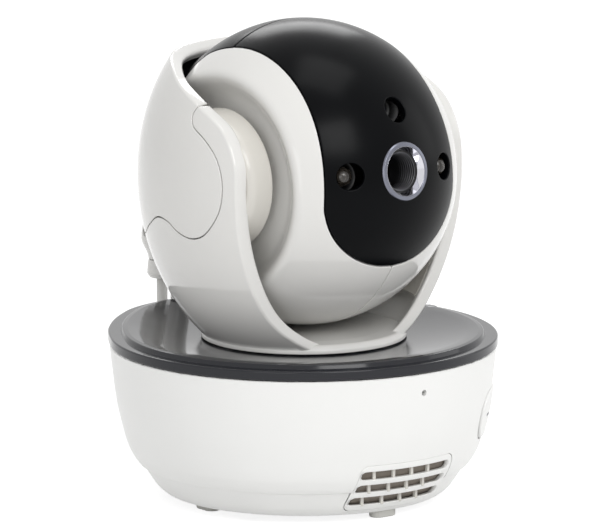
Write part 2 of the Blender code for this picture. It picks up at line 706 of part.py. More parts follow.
def make_top_lid():
    """The dark lid: a flat rim, a step up, a dish down to the yoke and a seat for the bearing."""
    step_in = 0.9 * MM
    seat = FLANGE_RADIUS + 1.8 * MM
    under = wall_inset(BODY_TOP - LID_SKIRT) + WALL + 2 * GAP
    bore = SPINDLE_RADIUS + GAP
    rings = [
        plan_ring(0.0, LID_LOW), plan_ring(0.0, LID_RIM_TOP - 0.5 * MM), plan_ring(0.5 * MM, LID_RIM_TOP),
        plan_ring(LID_RIM, LID_RIM_TOP), plan_ring(LID_RIM + step_in * 0.7, LID_TOP - 0.25 * MM),
        plan_ring(LID_RIM + step_in + 0.6 * MM, LID_TOP),
        round_ring(YOKE_FOOT_RADIUS + 9 * MM, DISH_Z + 0.35 * LID_DISH),
        round_ring(YOKE_FOOT_RADIUS + 1 * MM, DISH_Z), round_ring(seat, DISH_Z), round_ring(seat, SEAT_Z),
        round_ring(bore, SEAT_Z), round_ring(bore, LID_BOSS_Z), round_ring(bore + 2.2 * MM, LID_BOSS_Z),
        round_ring(bore + 2.2 * MM, SEAT_Z - WALL), round_ring(seat + WALL, SEAT_Z - WALL),
        round_ring(YOKE_FOOT_RADIUS + 3 * MM, DISH_Z - WALL),
        plan_ring(under + WALL + 0.8 * MM, LID_TOP - WALL * 1.2),
        plan_ring(under + WALL, LID_LOW - LID_SKIRT), plan_ring(under, LID_LOW - LID_SKIRT),
        plan_ring(under, LID_LOW),
    ]
    lid = loft("top_lid", rings, BASE, GREY, closed=True)
    change(lid, window_slab("window_hole", GAP, LID_LOW - WALL, LID_TOP + WALL))
    return lid


def window_slab(name, extra, low, high, material=None):
    window = slab(name, capsule(WINDOW_LENGTH / 2 + extra, WINDOW_WIDTH / 2 + extra, 4), low, high, BASE,
                  material)
    window.location = (WINDOW_X, WINDOW_Y, 0.0)
    window.rotation_euler = (0.0, 0.0, math.pi / 2 + math.atan2(WINDOW_Y, WINDOW_X))
    return window


def make_speaker():
    """A small round loudspeaker that faces the grille: basket, cone and magnet."""
    front = -SPEAKER_FRONT_Y
    place = (0.0, 0.0, SPEAKER_Z)
    back = front - SPEAKER_DEPTH
    basket = [(SPEAKER_RADIUS - 1.2 * MM, front), (SPEAKER_RADIUS, front), (SPEAKER_RADIUS, front - 1.2 * MM),
              (SPEAKER_RADIUS - 1.2 * MM, front - 1.2 * MM), (MAGNET_RADIUS, back), (2.5 * MM, back),
              (2.5 * MM, back + 0.8 * MM), (MAGNET_RADIUS - 0.8 * MM, back + 0.8 * MM),
              (SPEAKER_RADIUS - 2.0 * MM, front - 1.0 * MM)]
    turned("speaker_basket", basket, BASE, STEEL, axis="-Y", place=place)
    cone = [(0.0, front - 1.6 * MM), (3.0 * MM, front - 1.6 * MM), (SPEAKER_RADIUS - 2.4 * MM, front - 0.2 * MM),
            (SPEAKER_RADIUS - 2.4 * MM, front - 0.7 * MM), (3.0 * MM, front - 2.1 * MM),
            (0.0, front - 2.1 * MM)]
    turned("speaker_cone", cone, BASE, PAPER, axis="-Y", place=place)
    cylinder("speaker_magnet", MAGNET_RADIUS, back - GAP - MAGNET_DEPTH, back - GAP, BASE, STEEL, axis="-Y",
             place=place)


def make_microphone():
    """A capsule in a rubber boot behind the small hole at the front."""
    front = BASE_RADIUS - wall_inset(MIC_Z) - WALL - 1.2 * MM
    place = (0.0, 0.0, MIC_Z)
    boot = [(MIC_HOLE, front), (MIC_RADIUS + 0.8 * MM, front), (MIC_RADIUS + 0.8 * MM, front - 3.2 * MM),
            (MIC_RADIUS + GAP, front - 3.2 * MM), (MIC_RADIUS + GAP, front - 0.8 * MM),
            (MIC_HOLE, front - 0.8 * MM)]
    turned("microphone_boot", boot, BASE, RUBBER, axis="-Y", place=place, steps=COARSE)
    cylinder("microphone", MIC_RADIUS, front - 3.4 * MM, front - 0.8 * MM - GAP, BASE, STEEL, axis="-Y",
             place=place, steps=COARSE)


def make_main_board():
    board = box("main_board", (-BOARD_HALF_X, BOARD_FRONT_Y, BOARD_Z),
                (BOARD_HALF_X, BOARD_REAR_Y, BOARD_Z + 1.6 * MM), BASE, BOARD)
    chips = ((-14.0, -12.0, 12.0, 2.0), (8.0, -14.0, 14.0, 1.6), (-18.0, 4.0, 9.0, 3.0), (6.0, 4.0, 10.0, 5.0))
    for number, (x, y, size, height) in enumerate(chips, 1):
        chip = box(f"chip_{number}", (x * MM, y * MM, BOARD_Z + 1.0 * MM),
                   ((x + size) * MM, (y + size * 0.7) * MM, BOARD_Z + (1.6 + height) * MM), BASE)
        change(board, chip, "UNION")
    return board


def make_pair_button():
    top = BOARD_Z - BUTTON_TRAVEL - GAP / 2
    profile = [(0.0, top), (BUTTON_RADIUS * 0.6, top), (BUTTON_RADIUS * 0.6, TRAY_FLOOR + 2.4 * MM),
               (BUTTON_RADIUS + 1.2 * MM, TRAY_FLOOR + 2.4 * MM), (BUTTON_RADIUS + 1.2 * MM, TRAY_FLOOR + GAP),
               (BUTTON_RADIUS, TRAY_FLOOR + GAP), (BUTTON_RADIUS, FOOT_HEIGHT + 0.1 * MM),
               (0.0, FOOT_HEIGHT + 0.1 * MM)]
    turned("pair_button", profile, BASE, GREY, place=(BUTTON_X, 0.0, 0.0), steps=COARSE)


def make_dc_socket():
    """The low-voltage supply socket: a block behind the wall, a round mouth and a centre pin."""
    half = SOCKET_BLOCK / 2
    mouth = -0.8 * MM
    block = -WALL - 2.4 * MM
    socket = box("dc_socket", (-half, block - SOCKET_DEPTH, -half), (half, block, half), SOCKET, LINER_BLACK)
    change(socket, cylinder("socket_mouth", SOCKET_RADIUS, block - 1 * MM, mouth, SOCKET, axis="Y"), "UNION")
    change(socket, cylinder("socket_bore", SOCKET_BORE, block - SOCKET_DEPTH + 1.5 * MM, mouth + WALL, SOCKET,
                            axis="Y", steps=COARSE))
    change(socket, cylinder("socket_pin", SOCKET_PIN, block - SOCKET_DEPTH + 1 * MM, mouth - 1.5 * MM, SOCKET,
                            axis="Y", steps=TINY), "UNION")
    return socket


def make_power_switch():
    """A slide switch: a body behind the wall and a knob in the slot, at rest at its +X end."""
    block = -WALL - 1.6 * MM
    rest = SWITCH_TRAVEL / 2
    box("power_switch_body", (-SWITCH_BODY / 2, block - 5 * MM, -3 * MM), (SWITCH_BODY / 2, block, 3 * MM),
        SWITCH, LINER_BLACK)
    box("power_slider", (rest - SWITCH_KNOB / 2, block + GAP, -SWITCH_KNOB_HEIGHT / 2),
        (rest + SWITCH_KNOB / 2, 0.3 * MM, SWITCH_KNOB_HEIGHT / 2), SWITCH, GREY, bevel=0.3 * MM)


# ---------------------------------------------------------------- gears and motors

def gear_outline(module, teeth, phase):
    """Straight-flanked teeth with a tooth centred on the phase angle."""
    pitch = module * teeth / 2
    step = math.tau / teeth
    steps = ((-0.32, pitch - 1.2 * module), (-0.10, pitch + 0.85 * module),
             (0.10, pitch + 0.85 * module), (0.32, pitch - 1.2 * module))
    points = []
    for tooth in range(teeth):
        for share, radius in steps:
            angle = phase + (tooth + share) * step
            points.append((radius * math.cos(angle), radius * math.sin(angle)))
    return points


def make_pan_drive():
    """The spur gear on the spindle, its pinion on the -X side and the motor that stands on posts."""
    low = PAN_GEAR_TOP - PAN_GEAR_WIDTH
    towards = math.pi
    gap_phase = towards - PAN_AT_REST + math.pi / PAN_GEAR_TEETH
    gear = slab("pan_gear", gear_outline(PAN_MODULE, PAN_GEAR_TEETH, gap_phase), low - PIVOT_Z,
                PAN_GEAR_TOP - PIVOT_Z, PAN, ACETAL)
    change(gear, cylinder("pan_gear_bore", SPINDLE_RADIUS + GAP, low - PIVOT_Z - WALL,
                          PAN_GEAR_TOP - PIVOT_Z + WALL, PAN))
    shaft = (-PAN_CENTRES, 0.0, 0.0)
    pinion = slab("pan_pinion", gear_outline(PAN_MODULE, PINION_TEETH, 0.0), low - GAP, PAN_GEAR_TOP + GAP,
                  BASE, ACETAL)
    pinion.location = shaft
    change(pinion, cylinder("pan_pinion_bore", MOTOR_SHAFT + GAP, low - WALL, PAN_GEAR_TOP + WALL, BASE,
                            place=shaft, steps=TINY))
    centre = (-PAN_CENTRES, PAN_MOTOR_OFFSET, 0.0)
    motor = cylinder("pan_motor", PAN_MOTOR_RADIUS, PAN_MOTOR_TOP - PAN_MOTOR_LENGTH, PAN_MOTOR_TOP, BASE, STEEL,
                     place=centre)
    ears = slab("pan_motor_ears", capsule(PAN_EAR_SPAN + EAR_RADIUS, EAR_RADIUS), PAN_MOTOR_TOP - EAR_THICK,
                PAN_MOTOR_TOP, BASE)
    ears.location = centre
    ears.rotation_euler = (0.0, 0.0, math.pi / 2)
    change(motor, ears, "UNION")
    change(motor, cylinder("pan_motor_shaft", MOTOR_SHAFT, PAN_MOTOR_TOP - MM, PAN_GEAR_TOP, BASE,
                           place=shaft, steps=TINY), "UNION")


def make_tilt_drive():
    """The gear on the right trunnion, and the pinion and pancake motor inside the right drum."""
    gear_out = TILT_GEAR_IN + TILT_GEAR_WIDTH
    down = -math.pi / 2
    gear = slab("tilt_gear",
                gear_outline(TILT_MODULE, TILT_GEAR_TEETH, down + TILT_AT_REST + math.pi / TILT_GEAR_TEETH),
                TILT_GEAR_IN, gear_out, TILT, ACETAL, along="X")
    change(gear, cylinder("tilt_gear_bore", TRUNNION_RADIUS + GAP, TILT_GEAR_IN - WALL, gear_out + WALL, TILT,
                          axis="X"))
    pinion = slab("tilt_pinion", gear_outline(TILT_MODULE, PINION_TEETH, -down), TILT_GEAR_IN, gear_out, PAN,
                  ACETAL, along="X")
    pinion.location = (0.0, 0.0, -TILT_CENTRES)
    change(pinion, cylinder("tilt_pinion_bore", MOTOR_SHAFT + GAP, TILT_GEAR_IN - WALL, gear_out + WALL, PAN,
                            axis="X", place=(0.0, 0.0, -TILT_CENTRES), steps=TINY))
    centre = (0.0, 0.0, -TILT_MOTOR_OFFSET)
    far = TILT_MOTOR_IN + TILT_MOTOR_LENGTH
    motor = cylinder("tilt_motor", TILT_MOTOR_RADIUS, TILT_MOTOR_IN, far, PAN, STEEL, axis="X", place=centre)
    ear_in = far - EAR_THICK - 1.4 * MM
    ears = slab("tilt_motor_ears", capsule(TILT_EAR_SPAN + EAR_RADIUS * 0.8, EAR_RADIUS * 0.8), ear_in,
                ear_in + EAR_THICK, PAN, along="X")
    ears.location = centre
    change(motor, ears, "UNION")
    change(motor, cylinder("tilt_motor_shaft", MOTOR_SHAFT, TILT_GEAR_IN + GAP, TILT_MOTOR_IN + MM, PAN,
                           axis="X", place=(0.0, 0.0, -TILT_CENTRES), steps=TINY), "UNION")
    return ear_in


# ---------------------------------------------------------------- yoke

def egg_radius(height, inset=0.0):
    """The yoke's radius about the pan axis at a height above the tilt axis."""
    half = EGG_ABOVE if height > 0.0 else EGG_BELOW
    return YOKE_RADIUS * math.sqrt(1.0 - (height / half) ** 2) - inset


def egg_line(inset, low, high, count=9):
    """The egg's side from top to bottom."""
    return [(egg_radius(high + (low - high) * i / count, inset), high + (low - high) * i / count)
            for i in range(count + 1)]


def egg_solid(name, inset, low, high, count=9):
    line = egg_line(inset, low, high, count)
    return turned(name, [(0.0, high)] + line + [(0.0, low)], PAN, steps=FINE)


def rim_line():
    """The yoke's edge seen from the side, from the foot up the front and back along the hood."""
    knots = ((-19.4, 0.0), (-18.6, 9.0), (-13.4, 17.8), (-4.0, 23.2), (7.0, 27.6), (17.5, 31.6), (28.0, 33.2),
             (40.0, 33.3))
    front = YOKE_FRONT_Y / knots[0][0]
    rise = HOOD_TOP / knots[-1][1]
    return [(y * front if y < 0 else y * MM, z * rise) for y, z in flowing(knots, 3)]


def side_region(name, inset):
    """Everything behind and below the yoke's edge, drawn in by an inset."""
    line = rim_line()
    moved = []
    for i, (y, z) in enumerate(line):
        before = line[max(i - 1, 0)]
        after = line[min(i + 1, len(line) - 1)]
        along = Vector((after[0] - before[0], after[1] - before[1])).normalized()
        moved.append((y + along[1] * inset, z - along[0] * inset))
    far = 2 * YOKE_RADIUS
    outline = [(YOKE_FRONT_Y + inset, -far)] + moved + [(far, moved[-1][1]), (far, -far)]
    return slab(name, outline, -far, far, PAN, along="X")


def cover_region(name, grow):
    """The space of the rear cover seen from the side: a round lobe at the pivot, then the hood."""
    knots = ((-5.2, 27.0), (-3.4, 23.6), (-2.2, 20.8), (-3.6, 17.8), (-8.4, 14.8), (-13.0, 10.2), (-15.4, 3.4),
             (-14.4, -4.2), (-9.6, -10.8), (-4.4, -13.0), (1.0, -11.9), (5.4, -9.4), (10.8, -9.0),
             (17.0, -12.2), (24.0, -16.0), (34.0, -18.0), (48.0, -18.4))
    line = flowing([(y * MM, z * MM) for y, z in knots], 2)
    moved = []
    for i, (y, z) in enumerate(line):
        before = line[max(i - 1, 0)]
        after = line[min(i + 1, len(line) - 1)]
        along = Vector((after[0] - before[0], after[1] - before[1])).normalized()
        moved.append((y + along[1] * grow, z - along[0] * grow))
    far = 2 * YOKE_RADIUS
    outline = [(moved[0][0], far)] + moved + [(far, moved[-1][1]), (far, far)]
    return slab(name, outline, -far, far, PAN, along="X")


def yoke_levels():
    """Lowest and highest level of the yoke, and the level of its floor, from the tilt axis."""
    return YOKE_BOTTOM - PIVOT_Z, HOOD_TOP + 1.0 * MM, YOKE_FLOOR_TOP - PIVOT_Z


def full_wall():
    return YOKE_WALL + GAP + LINER


def drum_space(name, extra):
    """The drum's cylinder on both sides, cut off inside the yoke's wall."""
    reach = 2 * YOKE_RADIUS
    drum = cylinder(name, DRUM_RADIUS + extra, -reach, reach, PAN, axis="X")
    low, high, _ = yoke_levels()
    egg = egg_solid(name + "_egg", YOKE_WALL + GAP + LINER / 2 - extra, low, high)
    return change(drum, egg, "INTERSECT")


def make_yoke_shells():
    """The white front shell with its foot, and the white rear cover with its round lobes."""
    low, high, floor = yoke_levels()
    opening = FLANGE_RADIUS + GAP
    socket = opening + 1.5 * MM
    root = low + YOKE_FOOT_EDGE / 2
    profile = (egg_line(0.0, root, high) + [(socket, root), (socket, floor)]
               + list(reversed(egg_line(full_wall(), floor + GAP, high))))
    shell = turned("yoke_front_shell", profile, PAN, WHITE, steps=FINE)
    change(shell, side_region("yoke_edge", 0.0), "INTERSECT")
    edge = YOKE_FOOT_EDGE
    foot = [(opening, low + edge + 0.4 * MM), (YOKE_FOOT_RADIUS - 2.2 * MM, low + edge + 0.4 * MM),
            (YOKE_FOOT_RADIUS - 0.5 * MM, low + edge), (YOKE_FOOT_RADIUS, low + edge * 0.6),
            (YOKE_FOOT_RADIUS, low), (opening, low)]
    change(shell, turned("yoke_foot", foot, PAN, steps=FINE), "UNION")
    pocket = egg_solid("yoke_pocket", YOKE_WALL, floor + 4 * MM, high)
    change(pocket, side_region("pocket_edge", RIM_BAND), "INTERSECT")
    change(shell, pocket)
    change(shell, drum_space("drum_notch", GAP))
    change(shell, cover_region("cover_gap", GAP / 2))

    cover_profile = egg_line(0.0, -YOKE_COVER_DROP, high) + list(reversed(egg_line(full_wall(), -YOKE_COVER_DROP, high)))
    cover = turned("yoke_rear_cover", cover_profile, PAN, WHITE, steps=FINE)
    change(cover, side_region("cover_edge", 0.0), "INTERSECT")
    cover_pocket = egg_solid("cover_pocket", YOKE_WALL, -YOKE_COVER_DROP - MM, high)
    change(cover_pocket, side_region("cover_pocket_edge", RIM_BAND), "INTERSECT")
    change(cover, cover_pocket)
    change(cover, cover_region("cover_keep", -GAP / 2), "INTERSECT")
    change(cover, drum_space("drum_notch_rear", GAP))


def inner_wall(name, material):
    """The yoke's inner skin, before it is cut into arm covers and a hood liner."""
    low, high, floor = yoke_levels()
    bottom = floor + 4 * MM + GAP
    profile = (egg_line(YOKE_WALL + GAP, bottom, high, 8)
               + list(reversed(egg_line(full_wall(), bottom, high, 8))))
    skin = turned(name, profile, PAN, material, steps=FINE)
    return change(skin, side_region(name + "_edge", RIM_BAND + GAP), "INTERSECT")


def make_yoke_insides(ear_in):
    """White arm covers with the drums that reach into the cheeks, and the black liner behind the head."""
    far = 2 * YOKE_RADIUS
    for side, word in ((-1, "left"), (1, "right")):
        cover = inner_wall(f"arm_cover_{word}", WHITE)
        half = sorted((side * 5 * MM, side * far))
        change(cover, box(f"arm_half_{word}", (half[0], -far, -far), (half[1], LINER_FRONT_Y - GAP, far), PAN),
               "INTERSECT")
        drum = drum_space(f"drum_{word}", 0.0)
        drum_half = sorted((side * DRUM_FACE, side * far))
        change(drum, box(f"drum_half_{word}", (drum_half[0], -far, -far), (drum_half[1], far, far), PAN),
               "INTERSECT")
        change(cover, drum, "UNION")
        axis = "X" if side > 0 else "-X"
        change(cover, cylinder(f"drum_hollow_{word}", DRUM_RADIUS - DRUM_WALL, DRUM_FACE + DRUM_WALL, far, PAN,
                               axis=axis))
        change(cover, cylinder(f"drum_hole_{word}", TRUNNION_RADIUS + 2 * GAP + BUSH_WALL, DRUM_FACE - WALL, far,
                               PAN, axis=axis))
        if side > 0:
            for way in (-1, 1):
                change(cover, cylinder(f"tilt_motor_post_{way}", EAR_RADIUS * 0.8, DRUM_FACE + DRUM_WALL / 2,
                                       ear_in - GAP, PAN, axis="X",
                                       place=(0.0, way * TILT_EAR_SPAN, -TILT_MOTOR_OFFSET), steps=TINY), "UNION")
        inner = DRUM_FACE - 0.2 * MM
        bush = [(TRUNNION_RADIUS + GAP, inner + DRUM_WALL + 0.5 * MM),
                (TRUNNION_RADIUS + GAP + BUSH_WALL, inner + DRUM_WALL + 0.5 * MM),
                (TRUNNION_RADIUS + GAP + BUSH_WALL, inner), (TRUNNION_RADIUS + GAP, inner)]
        turned(f"tilt_bush_{word}", bush, PAN, ACETAL, axis=axis)
    liner = inner_wall("hood_liner", LINER_BLACK)
    change(liner, box("liner_half", (-far, LINER_FRONT_Y, -far), (far, far, far), PAN), "INTERSECT")
    change(liner, drum_space("liner_drum_gap", GAP))


def make_turntable():
    """The flange in the yoke's floor with its hollow spindle, the bearing ring and the retaining ring."""
    top = YOKE_FLOOR_TOP - PIVOT_Z
    under = YOKE_BOTTOM - PIVOT_Z
    end = PAN_GEAR_TOP - PAN_GEAR_WIDTH - 2.2 * MM - PIVOT_Z
    profile = [(SPINDLE_BORE, top), (FLANGE_RADIUS, top), (FLANGE_RADIUS, under), (SPINDLE_RADIUS, under),
               (SPINDLE_RADIUS, end), (SPINDLE_BORE, end)]
    turned("turntable", profile, PAN, WHITE, steps=FINE)
    ring("bearing_ring", FLANGE_RADIUS - 1.5 * MM - BEARING_WIDTH, FLANGE_RADIUS - 1.5 * MM, SEAT_Z + GAP,
         YOKE_BOTTOM - GAP, BASE, ACETAL, steps=FINE)
    low = PAN_GEAR_TOP - PAN_GEAR_WIDTH - PIVOT_Z
    ring("retaining_ring", SPINDLE_RADIUS + GAP, SPINDLE_RADIUS + 2.6 * MM, low - GAP - 1.0 * MM, low - GAP, PAN,
         STEEL)


# ---------------------------------------------------------------- head

def ball_line(radius, start, end, count):
    """An arc of the ball seen square to the tilt axis, as (radius, place along the axis)."""
    return [(radius * math.cos(a), radius * math.sin(a))
            for a in (start + (end - start) * i / count for i in range(count + 1))]


def ball_band(name, half, material):
    """A band of the hollow ball about the tilt axis."""
    outer = math.asin(half / HEAD_RADIUS)
    inner_radius = HEAD_RADIUS - HEAD_WALL
    inner = math.asin(half / inner_radius)
    profile = (ball_line(HEAD_RADIUS, outer, -outer, 11)
               + list(reversed(ball_line(inner_radius, inner, -inner, 5))))
    return turned(name, profile, TILT, material, axis="X", steps=FINE)


def visor_outline(extra):
    """The visor seen from the front: a strip that widens downwards and ends in a round chin."""
    wide = VISOR_HALF_WIDE + extra
    chin = VISOR_CHIN + extra
    top = VISOR_HALF_TOP + extra
    side = [(top, HEAD_RADIUS + WALL), (top, HEAD_RADIUS * 0.8), (top + 0.35 * (wide - top), HEAD_RADIUS * 0.5),
            (top + 0.8 * (wide - top), HEAD_RADIUS * 0.15)]
    curve = [(wide * math.cos(a), VISOR_CENTRE - chin * math.sin(a))
             for a in (math.pi * i / 20 for i in range(21))]
    return side + curve + [(-x, z) for x, z in reversed(side)]


def tongue_outline(extra):
    """The rear shell's strip over the top of the head, seen from above, with its flared corners."""
    half = TONGUE_HALF + extra
    back = REAR_SHELL_Y - extra + GAP
    flare = arc((half + TONGUE_FLARE, back - TONGUE_FLARE), TONGUE_FLARE, 180, 90, 4)
    right = [(half, VISOR_BACK_Y + GAP / 2 - extra)] + flare + [(half + TONGUE_FLARE, back + WALL)]
    return right + [(-x, y) for x, y in reversed(right)]


def visor_cutter(name, extra):
    back = VISOR_BACK_Y - GAP / 2 + extra
    return slab(name, visor_outline(extra), -2 * HEAD_RADIUS, back, TILT, along="Y")


def tongue_cutter(name, extra):
    """The space of the rear shell's strip, clear of the cheeks' dishes."""
    low = math.sqrt((HEAD_RADIUS - HEAD_WALL) ** 2 - (TONGUE_HALF + TONGUE_FLARE) ** 2 - REAR_SHELL_Y ** 2)
    return slab(name, tongue_outline(extra), low - 2 * GAP, 2 * HEAD_RADIUS, TILT)


def cap_cutter(name, extra):
    """The space behind the cheeks."""
    far = 2 * HEAD_RADIUS
    return box(name, (-far, REAR_SHELL_Y - extra, -far), (far, far, far), TILT)


def cheek_cylinder(name, extra):
    """The round cheeks' cylinder about the tilt axis."""
    far = 2 * HEAD_RADIUS
    return cylinder(name, CHEEK_LIP + extra, -1.1 * far, 1.1 * far, TILT, axis="X", steps=FINE)


def make_visor():
    visor = ball_band("visor", VISOR_HALF_WIDE + 3 * MM, BLACK)
    change(visor, visor_cutter("visor_edge", 0.0), "INTERSECT")
    for name, radius, (x, z) in front_holes():
        change(visor, cylinder(name, radius, 0.0, 2 * HEAD_RADIUS, TILT, axis="-Y", place=(x, 0.0, z),
                               steps=MEDIUM))


def front_holes():
    lamp_x = HEAD_RADIUS * math.sin(LAMP_ANGLE)
    sensor_z = HEAD_RADIUS * math.sin(SENSOR_ANGLE)
    return [("lens_hole", LENS_RING_RADIUS - 0.8 * MM, (0.0, 0.0)), ("lamp_hole_left", LAMP_HOLE, (-lamp_x, 0.0)),
            ("lamp_hole_right", LAMP_HOLE, (lamp_x, 0.0)), ("sensor_hole", SENSOR_HOLE, (0.0, sensor_z))]


def make_rear_shell():
    shell = ball_band("rear_head_shell", HEAD_RADIUS * 0.9, BLACK)
    region = cap_cutter("rear_region", 0.0)
    change(region, tongue_cutter("rear_region_tongue", 0.0), "UNION")
    change(shell, region, "INTERSECT")
    change(shell, cheek_cylinder("rear_cheek_gap", GAP))


def make_cheeks():
    """White half shells that meet under the chin, each with a dish round the tilt axis."""
    lip_x = CHEEK_LIP_X
    lip_angle = math.asin(lip_x / HEAD_RADIUS)
    seam = math.asin(GAP / 2 / HEAD_RADIUS)
    inner_radius = HEAD_RADIUS - HEAD_WALL
    hole = TRUNNION_RADIUS + GAP
    dip = lip_x - CHEEK_FLOOR
    dish = [(CHEEK_LIP - 1.0 * MM, lip_x - 0.15 * dip), (CHEEK_LIP - 4.0 * MM, lip_x - 0.66 * dip),
            (CHEEK_LIP - 8.5 * MM, CHEEK_FLOOR), (hole, CHEEK_FLOOR)]
    inner_lip = math.asin((lip_x - 2.5 * MM) / inner_radius)
    back = [(hole, CHEEK_FLOOR - HEAD_WALL), (CHEEK_LIP - 10 * MM, CHEEK_FLOOR - HEAD_WALL),
            (CHEEK_LIP - 4 * MM, lip_x - 0.74 * dip - HEAD_WALL)]
    inner = list(reversed(ball_line(inner_radius, seam, inner_lip, 3)))
    profile = list(reversed(dish)) + list(reversed(ball_line(HEAD_RADIUS, seam, lip_angle, 6))) + \
        list(reversed(inner)) + list(reversed(back))
    for side, word in ((-1, "left"), (1, "right")):
        cheek = turned(f"cheek_{word}", profile, TILT, WHITE, axis="X" if side > 0 else "-X", steps=FINE)
        change(cheek, visor_cutter(f"visor_gap_{word}", GAP))
        change(cheek, tongue_cutter(f"tongue_gap_{word}", GAP))
        behind = cap_cutter(f"rear_gap_{word}", GAP)
        change(behind, cheek_cylinder(f"cheek_keep_{word}", 0.0))
        change(cheek, behind)


def make_trunnions():
    """Hollow shafts that carry the head in the drums; the right one also carries the tilt gear."""
    inside = CHEEK_FLOOR - HEAD_WALL - GAP
    for word, axis in (("left", "-X"), ("right", "X")):
        end = TILT_MOTOR_IN - 2 * GAP
        profile = [(TRUNNION_BORE, end), (TRUNNION_RADIUS, end), (TRUNNION_RADIUS, inside),
                   (TRUNNION_FLANGE, inside), (TRUNNION_FLANGE, inside - 2.2 * MM),
                   (TRUNNION_BORE, inside - 2.2 * MM)]
        turned(f"trunnion_{word}", profile, TILT, ACETAL, axis=axis)


def make_lens():
    """Chrome ring, ribbed black barrel, front lens and the sensor board behind them."""
    face = math.sqrt(HEAD_RADIUS ** 2 - LENS_RING_RADIUS ** 2)
    front = face + LENS_RING_PROUD
    neck = LENS_RING_RADIUS - 0.8 * MM - GAP
    inner = LENS_RING_RADIUS - LENS_RING_WIDTH
    back = front - LENS_RING_DEPTH
    profile = [(inner, front - 0.5 * MM), (inner + 0.4 * MM, front), (LENS_RING_RADIUS - 0.5 * MM, front),
               (LENS_RING_RADIUS, front - 0.4 * MM), (LENS_RING_RADIUS, face + GAP), (neck, face + GAP),
               (neck, back), (inner - 0.6 * MM, back)]
    turned("lens_ring", profile, TILT, CHROME, axis="-Y", steps=FINE)
    outer = inner - 0.6 * MM - GAP
    end = front - BARREL_DEPTH
    steps = 3
    ribs = []
    for i in range(steps):
        depth = front - 1.6 * MM - i * 2.0 * MM
        radius = outer - 0.5 * MM - i * 0.6 * MM
        ribs += [(radius, depth), (radius - 0.25 * MM, depth - 2.0 * MM)]
    seat = ribs[-1][1]
    bore = [(LENS_RADIUS + GAP, seat), (LENS_RADIUS + GAP, seat - 3 * MM), (2.0 * MM, seat - 3 * MM),
            (2.0 * MM, end)]
    barrel = list(reversed(bore)) + list(reversed(ribs)) + [(outer, front - 1.6 * MM), (outer, end)]
    turned("lens_barrel", barrel, TILT, LINER_BLACK, axis="-Y")
    dome = [(LENS_RADIUS * math.sin(a), seat - 1.2 * MM + 1.0 * MM * math.cos(a))
            for a in (math.pi / 2 * i / 3 for i in range(4))]
    turned("front_lens", dome + [(LENS_RADIUS, seat - 2.4 * MM), (0.0, seat - 2.4 * MM)], TILT, GLASS,
           axis="-Y", steps=MEDIUM)
    half = 9.0 * MM
    box("sensor_board", (-half, -end + GAP, -half), (half, -end + GAP + BOARD_THICK, half), TILT, BOARD)
    return outer


def make_lamps(barrel_radius):
    """Two infra-red lamps and the light sensor on their board, which the barrel passes through."""
    lamp_x = HEAD_RADIUS * math.sin(LAMP_ANGLE)
    sensor_z = HEAD_RADIUS * math.sin(SENSOR_ANGLE)
    face = BOARD_FRONT
    outline = [(-lamp_x - 4 * MM, -5 * MM), (lamp_x + 4 * MM, -5 * MM), (lamp_x + 4 * MM, 5 * MM),
               (9 * MM, 9 * MM), (4 * MM, sensor_z + 3 * MM), (-4 * MM, sensor_z + 3 * MM), (-9 * MM, 9 * MM),
               (-lamp_x - 4 * MM, 5 * MM)]
    board = slab("lamp_board", outline, -face, -face + BOARD_THICK, TILT, BOARD, along="Y")
    change(board, box("lamp_board_foot", (-9 * MM, -face, -9 * MM), (9 * MM, -face + BOARD_THICK, 0.0), TILT),
           "UNION")
    change(board, cylinder("barrel_hole", barrel_radius + GAP, 0.0, HEAD_RADIUS, TILT, axis="-Y", steps=MEDIUM))
    tip = face + GAP + LAMP_LENGTH
    body = [(LAMP_RADIUS * math.sin(a), tip - LAMP_RADIUS + LAMP_RADIUS * math.cos(a))
            for a in (math.pi / 2 * i / 3 for i in range(4))]
    body += [(LAMP_RADIUS, face + GAP + 1 * MM), (LAMP_RADIUS + 0.4 * MM, face + GAP + 1 * MM),
             (LAMP_RADIUS + 0.4 * MM, face + GAP), (0.0, face + GAP)]
    for word, x in (("left", -lamp_x), ("right", lamp_x)):
        turned(f"ir_lamp_{word}", body, TILT, LAMP, axis="-Y", place=(x, 0.0, 0.0), steps=COARSE)
    cylinder("light_sensor", SENSOR_RADIUS, face + GAP, face + GAP + 2.4 * MM, TILT, LAMP, axis="-Y",
             place=(0.0, 0.0, sensor_z), steps=COARSE)


# ---------------------------------------------------------------- aerial

